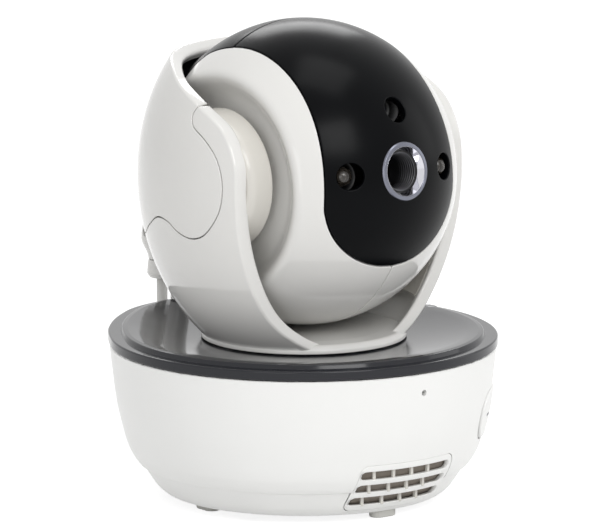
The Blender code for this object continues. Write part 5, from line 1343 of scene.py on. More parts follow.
class NC_OT_fittings(Operator):
    """Power socket, switch knob and pairing button"""
    bl_idname = "nursery.fittings"
    bl_label = "Fittings"

    def execute(self, context):
        size = base()
        wall = body_wall(size)
        socket, switch = socket_frames(wall)
        place = BASE @ socket
        jack = eased(raised(0.0, ((2.9, 0.1, 0.25), (3.7, 0.1, 0.3), (3.7, -9.5), (0.8, -9.5), (0.8, -8.6),
                                  (2.9, -8.6))), closed=True)
        make(Shell().turned(jack, 64, closed=True), "dc_jack", "liner", "base", "dc_socket",
             place)
        pin = eased(raised(0.0, ((0.0, -1.2), (0.85, -1.2, 0.5), (0.85, -8.8), (0.0, -8.8))))
        make(Shell().turned(pin, 32), "dc_jack_pin", "steel", "base", place=place)
        low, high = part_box("power_slider")
        centre = Vector([(a + b) / 2 for a, b in zip(low, high)])
        matrix = BASE @ switch
        local = matrix.inverted() @ centre
        knob = rounded_block((local.x - 1.7 * MM, -1.5 * MM, -2.6 * MM),
                             (local.x + 1.7 * MM, 1.5 * MM, 0.7 * MM), 0.3 * MM)
        knob.transform(matrix)
        as_piece("switch_knob", knob, "liner", "power_slider", "power_slider")
        grip = rounded_block(mm(-0.2, -1.3, -0.2), mm(0.2, 1.3, 0.2), 0.12 * MM)
        grip.transform(matrix.to_3x3().to_4x4())
        spots = [(tuple(matrix @ Vector((local.x + x * MM, 0.0, 0.72 * MM))),) for x in (-0.9, 0.0, 0.9)]
        copies("switch_grip", grip, spots, "liner", "power_slider")
        low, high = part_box("pair_button")
        middle = ((low[0] + high[0]) / 2, (low[1] + high[1]) / 2, 0.0)
        button = eased(raised(low[2], ((0.0, 0.25), (1.8, 0.22, 1.0), (2.3, 0.0, 0.3), (2.95, 0.0, 0.35)))
                       + raised(high[2], ((2.95, 0.0), (0.0, 0.0))))
        make(Shell().turned(button, 64), "pair_button_cap", "rubber", "pair_button", "pair_button",
             Matrix.Translation(middle))
        return {"FINISHED"}


# ---------------------------------------------------------------- yoke

# Lines seen from the side, as (y, z) from the tilt axis in millimetres: up the front edge of an arm, on
# along the hood, and the rear cover's edge round its lobe.
TOE = ((-22.8, -52.0), (-22.6, -46.6), (-21.9, -43.9), (-21.0, -41.2), (-20.0, -37.6), (-19.4, -32.5),
       (-19.4, -20.0), (-19.4, -10.0))
RIM = ((-19.4, 0.0), (-18.6, 9.0), (-13.4, 17.8), (-4.0, 23.2), (7.0, 27.6), (17.5, 31.6), (28.0, 33.2),
       (40.0, 33.3))
LOBE = ((-5.2, 27.0), (-3.4, 23.6), (-2.2, 20.8), (-3.6, 17.8), (-8.4, 14.8), (-13.0, 10.2), (-15.4, 3.4),
        (-14.4, -4.2), (-9.6, -10.8), (-4.4, -13.0), (1.0, -11.9), (5.4, -9.4), (10.8, -9.0), (17.0, -12.2),
        (24.0, -16.0), (34.0, -18.0), (48.0, -18.4))


def rim_line(size):
    """The yoke's edge from the side (y, z): from the toe up the front, then back along the hood."""
    drawn_front = 19.4    # the front edge that TOE and RIM are drawn for
    return flowing([(y * size.front / drawn_front if y < 0 else y * MM, z * MM) for y, z in TOE + RIM], 10)


def crossing(first, second):
    """Where two lines cross: the place, and how many points of each come before it."""
    for i in range(len(first) - 1):
        p, d = first[i], first[i + 1] - first[i]
        for j in range(len(second) - 1):
            q, e = second[j], second[j + 1] - second[j]
            slant = d[0] * e[1] - d[1] * e[0]
            if abs(slant) < 1e-15:
                continue
            t = ((q - p)[0] * e[1] - (q - p)[1] * e[0]) / slant
            u = ((q - p)[0] * d[1] - (q - p)[1] * d[0]) / slant
            if 0.0 <= t <= 1.0 and 0.0 <= u <= 1.0:
                return p + d * t, i + 1, j + 1
    raise RuntimeError("the seam doesn't cross the yoke's edge")


def marked(line, share):
    """A flat line with a third column that carries its share, too small to change its length."""
    return np.column_stack([line, np.full(len(line), share * 1e-6)])


class NC_OT_yoke_shells(Operator):
    """The glossy egg shell: its front part with the foot, and its rear cover with the round lobes"""
    bl_idname = "nursery.yoke_shells"
    bl_label = "Yoke shells"

    def execute(self, context):
        size = yoke()
        egg = Egg(size, -45 * MM)
        rim, lobe = rim_line(size), flowing(np.array(LOBE) * MM, 8)
        place, i, j = crossing(rim, lobe)
        low_rim = egg.side(np.vstack([rim[:i], [place]]))
        hood = egg.side(np.vstack([[place], rim[i:]]))
        seam = egg.side(np.vstack([[place], lobe[j:]]))
        hood, seam = [np.vstack([line[line[:, 0] > 0.3 * MM], [(0.0, line[-1, 1])]]) for line in (hood, seam)]
        flip = (-1.0, 1.0)
        right, left = marked(low_rim, 0.0), marked(low_rim[::-1] * flip, 0.0)
        across = marked(np.vstack([seam, seam[-2::-1] * flip]), 1.0)
        over = marked(np.vstack([hood, hood[-2::-1] * flip]), 0.0)
        bottom = np.array([left[-1], right[0]])
        r, edge, wall, band, small = size.outer_round, size.edge, size.wall, size.band, 1.2 * MM
        g, q = size.seam / 2, 0.2 * MM
        free = [(r + 0.5 * MM, 0.0, 1), (r, 0.0, 1)]
        joined = [(g + q + 0.3 * MM, 0.0, 1), (g + q, 0.0, 1)]
        for k in range(1, 7):
            a = math.pi / 2 * k / 6
            free.append((r - r * math.sin(a), r - r * math.cos(a), 0))
            joined.append((g + q - q * math.sin(a), q - q * math.cos(a), 0))
        free.append((0.0, edge - small, 0))
        joined.append((g, wall - 0.3 * MM, 0))
        for k in range(1, 6):
            a = math.pi / 2 * k / 5
            free.append((small - small * math.cos(a), edge - small + small * math.sin(a), 0))
            joined.append((g + 0.03 * k * MM, wall - 0.3 * MM + 0.06 * k * MM, 0))
        free += [(small + 0.3 * MM, edge, -1), (band, edge, -1), (band, wall, 0), (band + 0.8 * MM, wall, -1)]
        joined += [(g + step * MM, wall, -1) for step in (0.3, 0.45, 0.6, 0.8)]

        def squash(points):
            under = points[:, 2] < egg.floor
            points[under, 2] = egg.floor + (points[under, 2] - egg.floor) * 0.15
            return points

        seam_corner, toe_corner = 0.5 * MM, 4 * MM
        for name, node_name, lines, radii in (
                ("yoke_front", "yoke_front_shell", [right, across, left, bottom],
                 [toe_corner, seam_corner, seam_corner, toe_corner]),
                ("yoke_rear", "yoke_rear_cover", [over, across[::-1]], [seam_corner, seam_corner])):
            loop = rounded_loop(lines, radii, 0.8 * MM)
            share = np.clip(loop[:, 2] * 1e6, 0.0, 1.0)
            shell = Shell()
            rows = shell.edge(egg, loop[:, :2], free, others=joined, share=share)
            shell.skins(egg, [rows], 1.6 * MM, 2.2 * MM, wall)
            shell.bend(squash)
            make(shell, name, "gloss white", "yoke", node_name, YOKE)

        foot, low = size.foot_radius, YOKE_LOW
        top = low + 2.5 * MM
        cap = eased([(0.0, low + 0.3 * MM)]
                    + raised(low, ((-1.2, 0.3, 0.2), (-0.8, 0.0, 0.1), (0.35, 0.0, 0.25),
                                   (0.25, 1.0, 0.9)), foot)
                    + raised(top, ((-0.9, -0.2, 1.6), (-6.0, 0.0, 3.0)), foot) + [(0.0, top)], steps=6)
        make(Shell().turned(cap, 160), "yoke_foot", "gloss white", "yoke", "turntable", YOKE)
        return {"FINISHED"}


class NC_OT_arm_covers(Operator):
    """The inner covers of the yoke's arms with their round bosses"""
    bl_idname = "nursery.arm_covers"
    bl_label = "Arm covers"

    def execute(self, context):
        size = yoke()
        egg = Egg(size, -60 * MM)
        line = rim_line(size)
        cover_back, cover_low = 5.7 * MM, -36.4 * MM
        line = line[(line[:, 0] < cover_back) & (line[:, 1] > cover_low)]
        ahead = np.gradient(line, axis=0)
        ahead /= np.linalg.norm(ahead, axis=1)[:, None]
        line = line + np.column_stack([ahead[:, 1], -ahead[:, 0]]) * (size.band + GAP)
        line = line[line[:, 0] < cover_back]
        edge = egg.side(line)
        back = egg.side(np.column_stack([np.full(40, cover_back), np.linspace(line[-1, 1], line[0, 1], 40)]))
        bottom = np.array([back[-1], edge[0]])
        loop = rounded_loop([edge, back, bottom], mm(1.5, 1.5, 3.0), 0.8 * MM)
        deep, thin = size.edge, size.wall + GAP
        stations = [(away * MM, deep - rise * MM, skin)
                    for away, rise, skin in ((0.7, 0.0, -1), (0.35, 0.0, -1), (0.17, 0.05, 0),
                                             (0.05, 0.17, 0), (0.0, 0.35, 0))]
        stations += [(0.0, thin, 0), (0.4 * MM, thin, 1)]
        turns = whole_turn(96)

        def drum_row(shell, radius, x):
            """A round row of the boss; its wide rows stand forward and high, its bore stays on the axis"""
            forward, rise = (1.0 * MM, size.drum_rise) if radius > 10 * MM else (0.0, 0.0)
            y, z = radius * np.cos(turns) - forward, radius * np.sin(turns) + rise
            if x is None:
                x = np.sqrt(np.maximum((egg.radius(z) - (deep + thin) / 2) ** 2 - y ** 2, 0.0))
            return shell.row(np.column_stack([np.zeros_like(y) + x, y, z]))

        for word in ("left", "right"):
            shell = Shell()
            rows = shell.edge(egg, loop, stations)
            shell.patch(egg, [rows[0]], 1.8 * MM, depth=deep, skin=-1)
            shell.patch(egg, [rows[-1]], 3.0 * MM, depth=thin)
            boss = Shell()
            face, wide, hole = size.drum_face, size.drum_radius, 6.2 * MM
            profile = eased([(wide, face + 6 * MM), (wide, face, 0.8 * MM), (hole, face, 0.4 * MM),
                             (hole, face + 1.4 * MM), (wide - 1.4 * MM, face + 1.4 * MM)], steps=6)
            lines = [drum_row(boss, wide, None)] + [drum_row(boss, radius, x) for radius, x in profile]
            lines.append(drum_row(boss, wide - 1.4 * MM, None))
            boss.strips(lines, around=True)
            shell.add(boss)
            if word == "left":
                shell.mirror()
            # the arm covers take the white that is painted darker as the shade inside the yoke
            make(shell, f"arm_inside_{word}", "shade-painted white", "yoke", f"arm_cover_{word}",
                 YOKE)
        return {"FINISHED"}


# ---------------------------------------------------------------- head

def on_ball(size, xz):
    """Points of the ball's front from their place seen from the front."""
    xz = np.asarray(xz, float)
    y = -np.sqrt(np.maximum(size.radius ** 2 - xz[:, 0] ** 2 - xz[:, 1] ** 2, 0.0))
    return np.column_stack([xz[:, 0], y, xz[:, 1]])


def visor_side(size, extra=0.0):
    """The visor's edge on the +X side, from the top of the ball down to the middle of the chin."""
    r, top, wide = size.radius, size.visor_top + extra, size.visor_wide + extra
    span = wide - top
    knots = [(top, r * 0.87), (top, r * 0.8), (top + 0.35 * span, r * 0.5), (top + 0.8 * span, r * 0.15)]
    turns = np.linspace(0.0, math.pi / 2, 9)
    knots += [(wide * math.cos(a), -6.0 * MM - (size.visor_chin + extra) * math.sin(a)) for a in turns]
    line = flowing(knots, 8)
    upper = math.sqrt(r ** 2 - line[0, 0] ** 2)
    first = np.column_stack([np.full(8, top), np.linspace(upper - 0.001 * MM, line[0, 1] + 0.4 * MM, 8)])
    line = line[line[:, 1] < first[-1, 1]]
    return on_ball(size, np.vstack([first, line]))


def top_line(size, half, y):
    """A line across the top of the ball, from +X to -X."""
    x = np.linspace(half, -half, 60)
    return np.column_stack([x, np.full(len(x), y), np.sqrt(size.radius ** 2 - x ** 2 - y ** 2)])


def mirrored(points):
    return points[::-1] * (-1.0, 1.0, 1.0)


LAMP_ANGLE, SENSOR_ANGLE = math.radians(24.0), math.radians(23.6)    # from the lens's axis
RIM_RING = 32.3 * MM    # radius at which the white ring round the dish meets the rear shell


def front_windows(size):
    """The round windows in the visor: name, radius and middle seen from the front."""
    lamp, sensor = size.radius * math.sin(LAMP_ANGLE), size.radius * math.sin(SENSOR_ANGLE)
    return (("lens", size.ring_radius - 0.45 * MM, (0.0, 0.0)),
            ("lamp_left", size.lamp_hole, (-lamp + 0.3 * MM, 0.5 * MM)),
            ("lamp_right", size.lamp_hole, (lamp, -0.6 * MM)),
            ("sensor", size.sensor_hole, (1.1 * MM, sensor - 0.2 * MM)))


def head_seam(size, half, front, back, ring, stop, count):
    """Where a cheek meets the strip and the rear shell: over the shoulder, round the dish, under the ball."""
    r, flare = size.radius, 5.0 * MM
    end = math.sqrt(r ** 2 - ring ** 2)
    side = np.column_stack([np.full(16, half), np.linspace(front, back - flare, 16)])
    a = np.linspace(math.pi, math.pi / 2, 12)
    bend = np.column_stack([half + flare + flare * np.cos(a), back - flare + flare * np.sin(a)])
    out = np.column_stack([np.linspace(half + flare, end, 8), np.full(8, back)])
    seen = np.vstack([side, bend[1:], out[1:-1]])
    over = np.column_stack([seen, np.sqrt(r ** 2 - seen[:, 0] ** 2 - seen[:, 1] ** 2)])
    start = math.atan2(math.sqrt(ring ** 2 - back ** 2), back)
    a = np.linspace(start, -start, 80)
    dish = np.column_stack([np.full(80, end), ring * np.cos(a), ring * np.sin(a)])
    x = np.linspace(end, -end if stop is None else stop, count)
    under = np.column_stack([x, np.full(count, back), -np.sqrt(r ** 2 - x ** 2 - back ** 2)])
    return over, dish, under


class NC_OT_visor(Operator):
    """The black visor with its four windows"""
    bl_idname = "nursery.visor"
    bl_label = "Visor"

    def execute(self, context):
        size = head()
        upward = math.radians(28.0)
        ball = Ball(size.radius, (0.0, -math.cos(upward), math.sin(upward)), (1.0, 0.0, 0.0))
        side = visor_side(size)
        side[:, 1] = np.minimum(side[:, 1], 0.15 * MM)
        top = top_line(size, side[0, 0], 0.15 * MM)
        loop = rounded_loop([ball.drop(np.vstack([side, mirrored(side)[1:]])), ball.drop(top[::-1])],
                            mm(1.0, 1.0), 0.7 * MM)
        shell = Shell()
        rows = shell.edge(ball, loop, round_edge(0.35 * MM, size.wall))
        holes = []
        stations = round_edge(0.3 * MM, size.wall, support=0.25 * MM)
        turns = whole_turn(72)
        for _, radius, (x, z) in front_windows(size):
            spots = on_ball(size, np.column_stack([x + radius * np.cos(turns), z + radius * np.sin(turns)]))
            holes.append(shell.edge(ball, ball.drop(spots), stations, hole=True))
        shell.skins(ball, [rows] + holes, 1.2 * MM, 1.8 * MM, size.wall)
        make(shell, "visor_shell", "visor", "head", "visor", HEAD)
        return {"FINISHED"}


class NC_OT_rear_shell(Operator):
    """The rear shell of the head with its strip over the top"""
    bl_idname = "nursery.rear_shell"
    bl_label = "Rear head shell"

    def execute(self, context):
        size = head()
        upward = math.radians(20.0)
        ball = Ball(size.radius, (0.0, math.cos(upward), math.sin(upward)), (1.0, 0.0, 0.0))
        half, front = size.visor_top + 0.1 * MM, 0.45 * MM
        over, dish, under = head_seam(size, half, front, size.rear_edge, RIM_RING + GAP, None, 90)
        lines = [top_line(size, half, front)[::-1], over, dish, under, mirrored(dish), mirrored(over)]
        loop = rounded_loop([ball.drop(line) for line in lines],
                            mm(0.8, 0.8, 1.2, 1.2, 1.2, 1.2), 0.8 * MM)
        shell = Shell()
        rows = shell.edge(ball, loop, round_edge(0.35 * MM, size.wall))
        shell.skins(ball, [rows], 1.6 * MM, 2.4 * MM, size.wall)
        make(shell, "head_rear", "visor", "head", "rear_head_shell", HEAD)
        return {"FINISHED"}


class NC_OT_cheeks(Operator):
    """The white cheeks, each with a soft edge that rolls into a dish"""
    bl_idname = "nursery.cheeks"
    bl_label = "Cheeks"

    def execute(self, context):
        size = head()
        r, wall, chin_x = size.radius, size.wall, 0.15 * MM
        back = size.rear_edge - 0.3 * MM
        visor = visor_side(size, 0.3 * MM)
        visor[:, 1] = np.minimum(visor[:, 1], 0.0)
        visor = visor[visor[:, 0] > chin_x]
        half, front = size.visor_top + 0.4 * MM, 0.5 * MM
        over, behind, under = head_seam(size, half, front, back, RIM_RING, chin_x, 60)
        y = np.linspace(back, visor[-1, 1], 90)
        chin = np.column_stack([np.full(90, chin_x), y, -np.sqrt(r ** 2 - chin_x ** 2 - y ** 2)])
        ball = Ball(r, (1.0, 0.0, 0.0), (0.0, 1.0, 0.0))
        lines = (np.vstack([visor[::-1], over]), behind, under, chin)
        loop = rounded_loop([ball.drop(line) for line in lines], mm(0.8, 1.2, 1.0, 0.5),
                            0.75 * MM)
        turns = whole_turn(200)

        def lip_row(shell, radius, x, skin=0):
            y, z = radius * np.cos(turns), radius * np.sin(turns)
            points = np.column_stack([np.full(len(turns), x), y, z])
            spots = ball.drop(points)
            return shell.row(points, ball.normal(spots) * skin if skin else None), spots

        begin, deep = 31.9 * MM, size.dish_floor
        first = np.array((begin, math.sqrt(r ** 2 - begin ** 2)))
        last = np.array((27.6 * MM, deep + 2.6 * MM))
        peak = np.array((30.03 * MM, deep + 4.35 * MM))
        inner = raised(deep, ((26.4, 1.72), (25.0, 0.85), (23.4, 0.25), (21.5, 0.02), (19.5, 0.0)))
        b, c = first + (peak - first) * 0.72, last + (peak - last) * 0.72
        dish = []
        for t in np.linspace(0.0, 1.0, 15)[1:]:
            s = 1 - t
            dish.append(tuple(s ** 3 * first + 3 * t * s ** 2 * b + 3 * t ** 2 * s * c + t ** 3 * last))
        dish += [tuple(p) for p in flowing([last] + inner, 4)[1:]]
        hole = 4.9 * MM
        dish += eased([dish[-1], (hole, deep, 0.3 * MM), (hole, deep - wall)])[1:]
        dish += [(20 * MM, deep - wall), (26 * MM, deep - 1.1 * MM)]
        angle = math.atan2(29.37, 27.745)    # from the tilt axis to where the dish leaves the inner skin
        for word in ("left", "right"):
            shell = Shell()
            rows = shell.edge(ball, loop, round_edge(0.22 * MM, wall, support=0.12 * MM))
            lip = lip_row(shell, first[0], first[1], 1)
            back_lip = lip_row(shell, (r - wall) * math.sin(angle), (r - wall) * math.cos(angle), -1)
            shell.skins(ball, [rows, (lip, back_lip)], 1.5 * MM, 2.4 * MM, wall)
            lines = [lip[0]] + [lip_row(shell, radius, x)[0] for radius, x in dish] + [back_lip[0]]
            shell.strips(lines)
            if word == "left":
                shell.mirror()
            make(shell, f"cheek_shell_{word}", "gloss white", "head", f"cheek_{word}",
                 HEAD)
        return {"FINISHED"}


class NC_OT_lens(Operator):
    """Chrome ring, ridged barrel and front lens"""
    bl_idname = "nursery.lens"
    bl_label = "Lens"

    def execute(self, context):
        size = head()
        place = HEAD @ FRONT
        wide, inner = size.ring_radius, size.ring_radius - size.ring_width
        face = math.sqrt(size.radius ** 2 - wide ** 2)
        front = face + 0.7 * MM
        ring = eased(raised(front, ((-0.02, -3.4), (0.0, -0.12, 0.12), (0.15, 0.0, 0.1)), inner)
                     + raised(front, ((-0.28, -0.12, 0.2), (0.0, -0.55, 0.25)), wide)
                     + raised(face, ((0.0, -0.3), (-0.5, -0.3)), wide)
                     + raised(front, ((-0.5, -3.4),), wide), closed=True)
        make(Shell().turned(ring, 128, closed=True), "lens_bezel", "chrome", "head", "lens_ring",
             place)
        throat_wall = eased(raised(front, ((-1.15, -3.4), (-1.1, -1.95, 0.12), (-0.1, -0.12, 0.15),
                                           (-0.04, -0.16), (-0.04, -3.4)), inner), closed=True)
        make(Shell().turned(throat_wall, 128, closed=True), "lens_throat", "mirror", "head",
             place=place)
        outer = inner - 1.2 * MM
        mouth, seat, end = front - 2.1 * MM, front - 10.6 * MM, front - 14.0 * MM
        throat = 3.6 * MM
        barrel = eased([(outer, end)] + raised(mouth, ((0.0, 0.0, 0.15), (-0.35, 0.0, 0.1)), outer)
                       + raised(seat, ((0.75, 0.9), (0.3, 0.0, 0.2), (0.3, -2.8)), throat)
                       + [(2.0 * MM, seat - 2.8 * MM), (2.0 * MM, end)], closed=True)
        make(Shell().turned(barrel, 96, closed=True), "barrel_wall", "barrel", "head", "lens_barrel",
             place)
        rib = Shell().turned([mm(1.0, 0.16), mm(0.945, 0.07), (0.935 * MM, 0.0),
                              mm(0.945, -0.07), mm(1.0, -0.16)], 72, closed=True)
        mesh = flat_mesh(rib, "rib")
        mesh.set_sharp_from_angle(angle=math.radians(30.0))
        spots = []
        turn = place.to_euler()
        for k in range(size.ridges):
            t = k / max(size.ridges - 1, 1)
            level = mouth - 0.4 * MM - (mouth - 0.4 * MM - seat - 1.3 * MM) * t
            radius = outer - 0.40 * MM - (outer - 0.40 * MM - throat - 0.95 * MM) * t
            scale = (radius + 0.18 * MM) / (1.0 * MM)
            spots.append((tuple(place @ Vector((0.0, 0.0, level))), tuple(turn), (scale, scale, 1.0)))
        # the black crests are painted grey as a highlight
        copies("barrel_ridges", mesh, spots, "ridge", "head")
        top = seat - 0.2 * MM
        r = throat
        dome = [(0.0, top)] + [(r * math.sin(a), top - 1.1 * MM * (1 - math.cos(a)))
                               for a in np.linspace(0.0, math.pi / 2, 14)[1:]]
        dome += [(r, seat - 2.4 * MM), (0.0, seat - 2.4 * MM)]
        make(Shell().turned(dome, 72), "lens_glass", "glass", "head", "front_lens", place)
        return {"FINISHED"}


class NC_OT_lamps(Operator):
    """Infra-red lamps and light sensor, each in a dark cup"""
    bl_idname = "nursery.lamps"
    bl_label = "Lamps and sensor"

    def execute(self, context):
        size = head()
        windows = {name: (radius, spot) for name, radius, spot in front_windows(size)}
        board = 31.6 * MM    # from the tilt axis to the lamp board's face
        low = board + GAP
        tip, r = low + 6.0 * MM, size.lamp_radius
        for word in ("left", "right"):
            hole, (x, z) = windows["lamp_" + word]
            place = HEAD @ FRONT @ Matrix.Translation((x, z, 0.0))
            skin = math.sqrt(size.radius ** 2 - x ** 2) - size.wall - 0.8 * MM
            cup = eased([(r - 0.3 * MM, low + 1.15 * MM), (hole - 0.2 * MM, low + 1.5 * MM, 0.4 * MM),
                         (hole + 0.05 * MM, skin), (hole + 0.45 * MM, skin),
                         (hole + 0.3 * MM, low + 0.9 * MM)], closed=True)
            make(Shell().turned(cup, 64, closed=True), f"lamp_cup_{word}", "liner", "head",
                 place=place)
            body = [(0.0, tip)] + [(r * math.sin(a), tip - r + r * math.cos(a))
                                   for a in np.linspace(0.0, math.pi / 2, 12)[1:]]
            body += raised(low, ((0.0, 1.3), (0.08, 1.05), (0.4, 1.0), (0.4, 0.0)), r) + [(0.0, low)]
            make(Shell().turned(body, 56), f"lamp_{word}", "epoxy", "head", f"ir_lamp_{word}",
                 place)
            leads = eased(raised(low, ((0.0, 2.6), (0.55, 2.6, 0.1), (0.95, 3.2, 0.08), (1.1, 3.2, 0.05),
                                       (0.9, 1.9, 0.1), (0.45, 1.6), (0.45, 0.2), (0.0, 0.2))))
            make(Shell().turned(leads, 32), f"lamp_leads_{word}", "steel", "head",
                 place=place)
        hole, (x, z) = windows["sensor"]
        place = HEAD @ FRONT @ Matrix.Translation((x, z, 0.0))
        skin = math.sqrt(size.radius ** 2 - z ** 2) - size.wall - 0.8 * MM
        cup = eased([(1.3 * MM, low + 0.5 * MM), (hole - 0.6 * MM, low + 1.4 * MM, 0.5 * MM), (hole, skin),
                     (hole + 0.4 * MM, skin), (hole + 0.2 * MM, low)], closed=True)
        make(Shell().turned(cup, 64, closed=True), "sensor_cup", "liner", "head",
             place=place)
        eye = eased(raised(low, ((0.0, 2.4), (0.9, 2.3, 0.6), (1.5, 1.6, 0.4), (1.5, 0.0), (0.0, 0.0))))
        make(Shell().turned(eye, 40), "sensor_eye", "smoked", "head", "light_sensor", place)
        return {"FINISHED"}


# ---------------------------------------------------------------- aerial

class NC_OT_aerial(Operator):
    """The aerial's post, knuckle, sleeve and rod"""
    bl_idname = "nursery.aerial"
    bl_label = "Aerial"

    def execute(self, context):
        white = "gloss white"
        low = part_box("aerial_post")[0][2] - JOINTS["aerial_fold"]["pos_m"][2]
        back, rise = -9.1 * MM, 1.9 * MM
        post = Shell().turned(eased(raised(rise, ((0.0, 1.4), (2.0, 1.25, 1.2), (3.0, 0.0, 0.8)))
                                    + raised(low, ((3.0, 0.5, 0.1), (3.0, 0.0), (0.0, 0.0)))), 48)
        post.move(Matrix.Translation((0.0, back, 0.0)))
        about_x = Matrix(((0, 0, 1, 0), (1, 0, 0, 0), (0, 1, 0, 0), (0, 0, 0, 1)))
        arm = [rounded_block((-1.4 * MM, back, -rise), (1.4 * MM, 0.0, rise), 0.3 * MM),
               bar(2.6 * MM, -1.4 * MM, 1.4 * MM, about_x)]
        stand = carve(post, "aerial_stand", [bar(1.5 * MM, -3 * MM, 3 * MM, about_x, 24)], AERIAL, join=arm)
        as_piece("aerial_stand", stand, white, "base", "aerial_post")
        wide = -2.2 * MM
        line = [(0.0, 8.0 * MM)] + [(5.9 * MM * math.sin(a), wide + 10.2 * MM * math.cos(a))
                                    for a in np.linspace(0.0, math.pi / 2, 22)[1:]]
        line += [(3.9 * MM + 2.0 * MM * (1 + math.cos(math.pi * t)) / 2, wide - 6.0 * MM * t)
                 for t in np.linspace(0.0, 1.0, 14)[1:]]
        line += [mm(3.7, -8.2), (0.0, -8.2 * MM)]
        knuckle = Shell().turned(line, 80)
        # the post's arm sweeps through the knuckle as the aerial folds, round a hub that is left whole
        sweep = carve(round_bar(20 * MM, -3.3 * MM, 3.3 * MM, 64).move(about_x), "sweep",
                      [bar(5.8 * MM, -6 * MM, 6 * MM, about_x, 96),
                       rounded_block(mm(-30, -30, -30), mm(30, 30, 0.0), 0.0)])
        slot = rounded_block(mm(-1.7, -12, -3.2), mm(1.7, 12, 16), 0.0)
        cuts = [slot, sweep, bar(1.5 * MM, -12 * MM, 12 * MM, about_x, 24)]
        as_piece("aerial_head", carve(knuckle, "aerial_head", cuts, AERIAL), white, "aerial",
                 "aerial_knuckle")
        top, end = -8.5 * MM, -13.7 * MM
        sleeve = eased(raised(top, ((0.0, 0.0), (3.85, 0.0, 0.25), (4.05, -0.9, 0.5)))
                       + raised(end, ((4.3, 1.2, 0.6), (3.5, 0.0, 0.5), (0.0, 0.0))))
        make(Shell().turned(sleeve, 64), "aerial_collar", white, "aerial", "aerial_sleeve",
             AERIAL)
        start, tip = end + 0.4 * MM, -57.0 * MM
        rod = eased(raised(start, ((0.0, 0.0), (1.55, 0.0)))
                    + raised(tip, ((1.5, 8.0), (1.55, 7.6, 0.3), (1.55, 1.2, 0.6), (0.95, 0.0, 0.5),
                                   (0.0, 0.0))))
        make(Shell().turned(rod, 40), "aerial_whip", white, "aerial", "aerial_rod", AERIAL)
        return {"FINISHED"}


# ---------------------------------------------------------------- stage

def seen_directly(tree):
    """1 for camera, glossy and transmission rays, 0 for the light that falls on the object."""
    path = node(tree, "ShaderNodeLightPath")
    most = node(tree, "ShaderNodeMath", {0: (path, "Is Camera Ray"), 1: (path, "Is Glossy Ray")},
                operation="MAXIMUM")
    return node(tree, "ShaderNodeMath", {0: (most, 0), 1: (path, "Is Transmission Ray")}, operation="MAXIMUM")


def softbox(name, place, target, size, watts):
    """A soft rectangular lamp aimed at a point."""
    light = bpy.data.lights.new(name, "AREA")
    light.shape = "RECTANGLE"
    light.size, light.size_y = size
    light.energy = watts
    lamp = linked(name, light)
    lamp.location = place
    lamp.rotation_euler = (Vector(target) - Vector(place)).to_track_quat("-Z", "Y").to_euler()


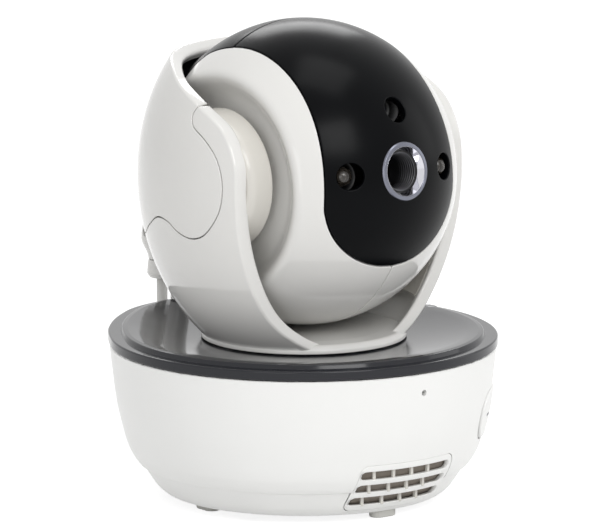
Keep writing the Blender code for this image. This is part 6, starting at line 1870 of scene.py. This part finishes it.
class NC_OT_stage(Operator):
    """Floor, surroundings, lamps and camera"""
    bl_idname = "nursery.stage"
    bl_label = "Stage"

    def execute(self, context):
        scene = context.scene
        stage = scene.nc_stage
        sheet = bpy.data.meshes.new("floor")
        sheet.from_pydata([(-3, -3, 0), (3, -3, 0), (3, 3, 0), (-3, 3, 0)], [], [(0, 1, 2, 3)])
        floor = linked("floor", sheet)
        material, tree = blank_material("White table")
        direct = seen_directly(tree)
        matt = node(tree, "ShaderNodeBsdfDiffuse", {"Color": (0.80, 0.80, 0.80, 1.0)})
        faint = node(tree, "ShaderNodeBsdfDiffuse", {"Color": (0.34, 0.34, 0.34, 1.0)})
        glow = node(tree, "ShaderNodeEmission", {"Color": (1.0, 1.0, 1.0, 1.0), "Strength": 0.84})
        shown = node(tree, "ShaderNodeAddShader", {0: (glow, 0), 1: (faint, 0)})
        both = node(tree, "ShaderNodeMixShader", {0: (direct, 0), 1: (matt, 0), 2: (shown, 0)})
        node(tree, "ShaderNodeOutputMaterial", {"Surface": (both, 0)})
        sheet.materials.append(material)

        world = scene.world or bpy.data.worlds.new("Studio")
        scene.world = world
        world.use_nodes = True
        tree = world.node_tree
        tree.nodes.clear()
        direct = seen_directly(tree)
        strength = node(tree, "ShaderNodeMapRange", {"Value": (direct, 0), "To Min": stage.fill,
                                                     "To Max": 1.0})
        light = node(tree, "ShaderNodeBackground", {"Color": (1.0, 1.0, 1.0, 1.0), "Strength": (strength, 0)})
        node(tree, "ShaderNodeOutputWorld", {"Surface": (light, 0)})

        middle = (0.0, AXIS_Y, 65 * MM)
        for name, place, extent, watts in (("front softbox", (-0.12, -0.75, 0.58), (0.42, 0.36), 2.4),
                                           ("top softbox", (0.10, -0.12, 0.85), (0.40, 0.40), 1.2),
                                           ("right softbox", (0.85, -0.35, 0.35), (0.40, 0.50), 0.6),
                                           ("rear softbox", (0.46, 0.62, 0.56), (0.45, 0.32), 1.8),
                                           ("left softbox", (-0.75, -0.55, 0.22), (0.40, 0.50), 0.8)):
            softbox(name, place, middle, extent, watts)

        camera = linked("camera", bpy.data.cameras.new("camera"))
        a, e = stage.azimuth, stage.elevation
        way = Vector((math.sin(a) * math.cos(e), -math.cos(a) * math.cos(e), math.sin(e)))
        aim = Vector((-0.853 * MM, AXIS_Y + 0.645 * MM, 64.6 * MM))
        camera.location = aim + way * stage.distance
        camera.rotation_euler = way.to_track_quat("Z", "Y").to_euler()
        camera.data.lens = stage.lens
        camera.data.sensor_width = 36.0
        camera.data.clip_start, camera.data.clip_end = 0.05, 20.0
        scene.camera = camera
        scene.view_settings.view_transform = "Standard"
        return {"FINISHED"}


# ---------------------------------------------------------------- panel and run

STEPS = (NC_OT_finishes, NC_OT_base_body, NC_OT_base_tray, NC_OT_lid, NC_OT_grille, NC_OT_volume_key,
         NC_OT_feet, NC_OT_fittings, NC_OT_yoke_shells, NC_OT_arm_covers, NC_OT_visor, NC_OT_rear_shell,
         NC_OT_cheeks, NC_OT_lens, NC_OT_lamps, NC_OT_aerial, NC_OT_stage)


class NC_PT_panel(Panel):
    """Sizes, colours and steps of the nursery camera"""
    bl_idname = "NC_PT_panel"
    bl_label = "Nursery Camera"
    bl_space_type = "VIEW_3D"
    bl_region_type = "UI"
    bl_category = "Nursery"

    def draw(self, context):
        layout = self.layout
        for key, group in GROUPS:
            box = layout.box()
            box.label(text=(group.__doc__ or key).strip())
            settings = getattr(context.scene, key)
            for name in group.__annotations__:
                box.prop(settings, name)
        column = layout.column(align=True)
        for step in STEPS:
            column.operator(step.bl_idname)


CLASSES = tuple(group for _, group in GROUPS) + STEPS + (NC_PT_panel,)


def register():
    for cls in CLASSES:
        bpy.utils.register_class(cls)
    for key, group in GROUPS:
        setattr(bpy.types.Scene, key, PointerProperty(type=group))


def unregister():
    for key, _ in GROUPS:
        delattr(bpy.types.Scene, key)
    for cls in reversed(CLASSES):
        bpy.utils.unregister_class(cls)


def main():
    register()
    for step in STEPS:
        group, name = step.bl_idname.split(".")
        getattr(getattr(bpy.ops, group), name)()


if __name__ == "__main__":
    main()
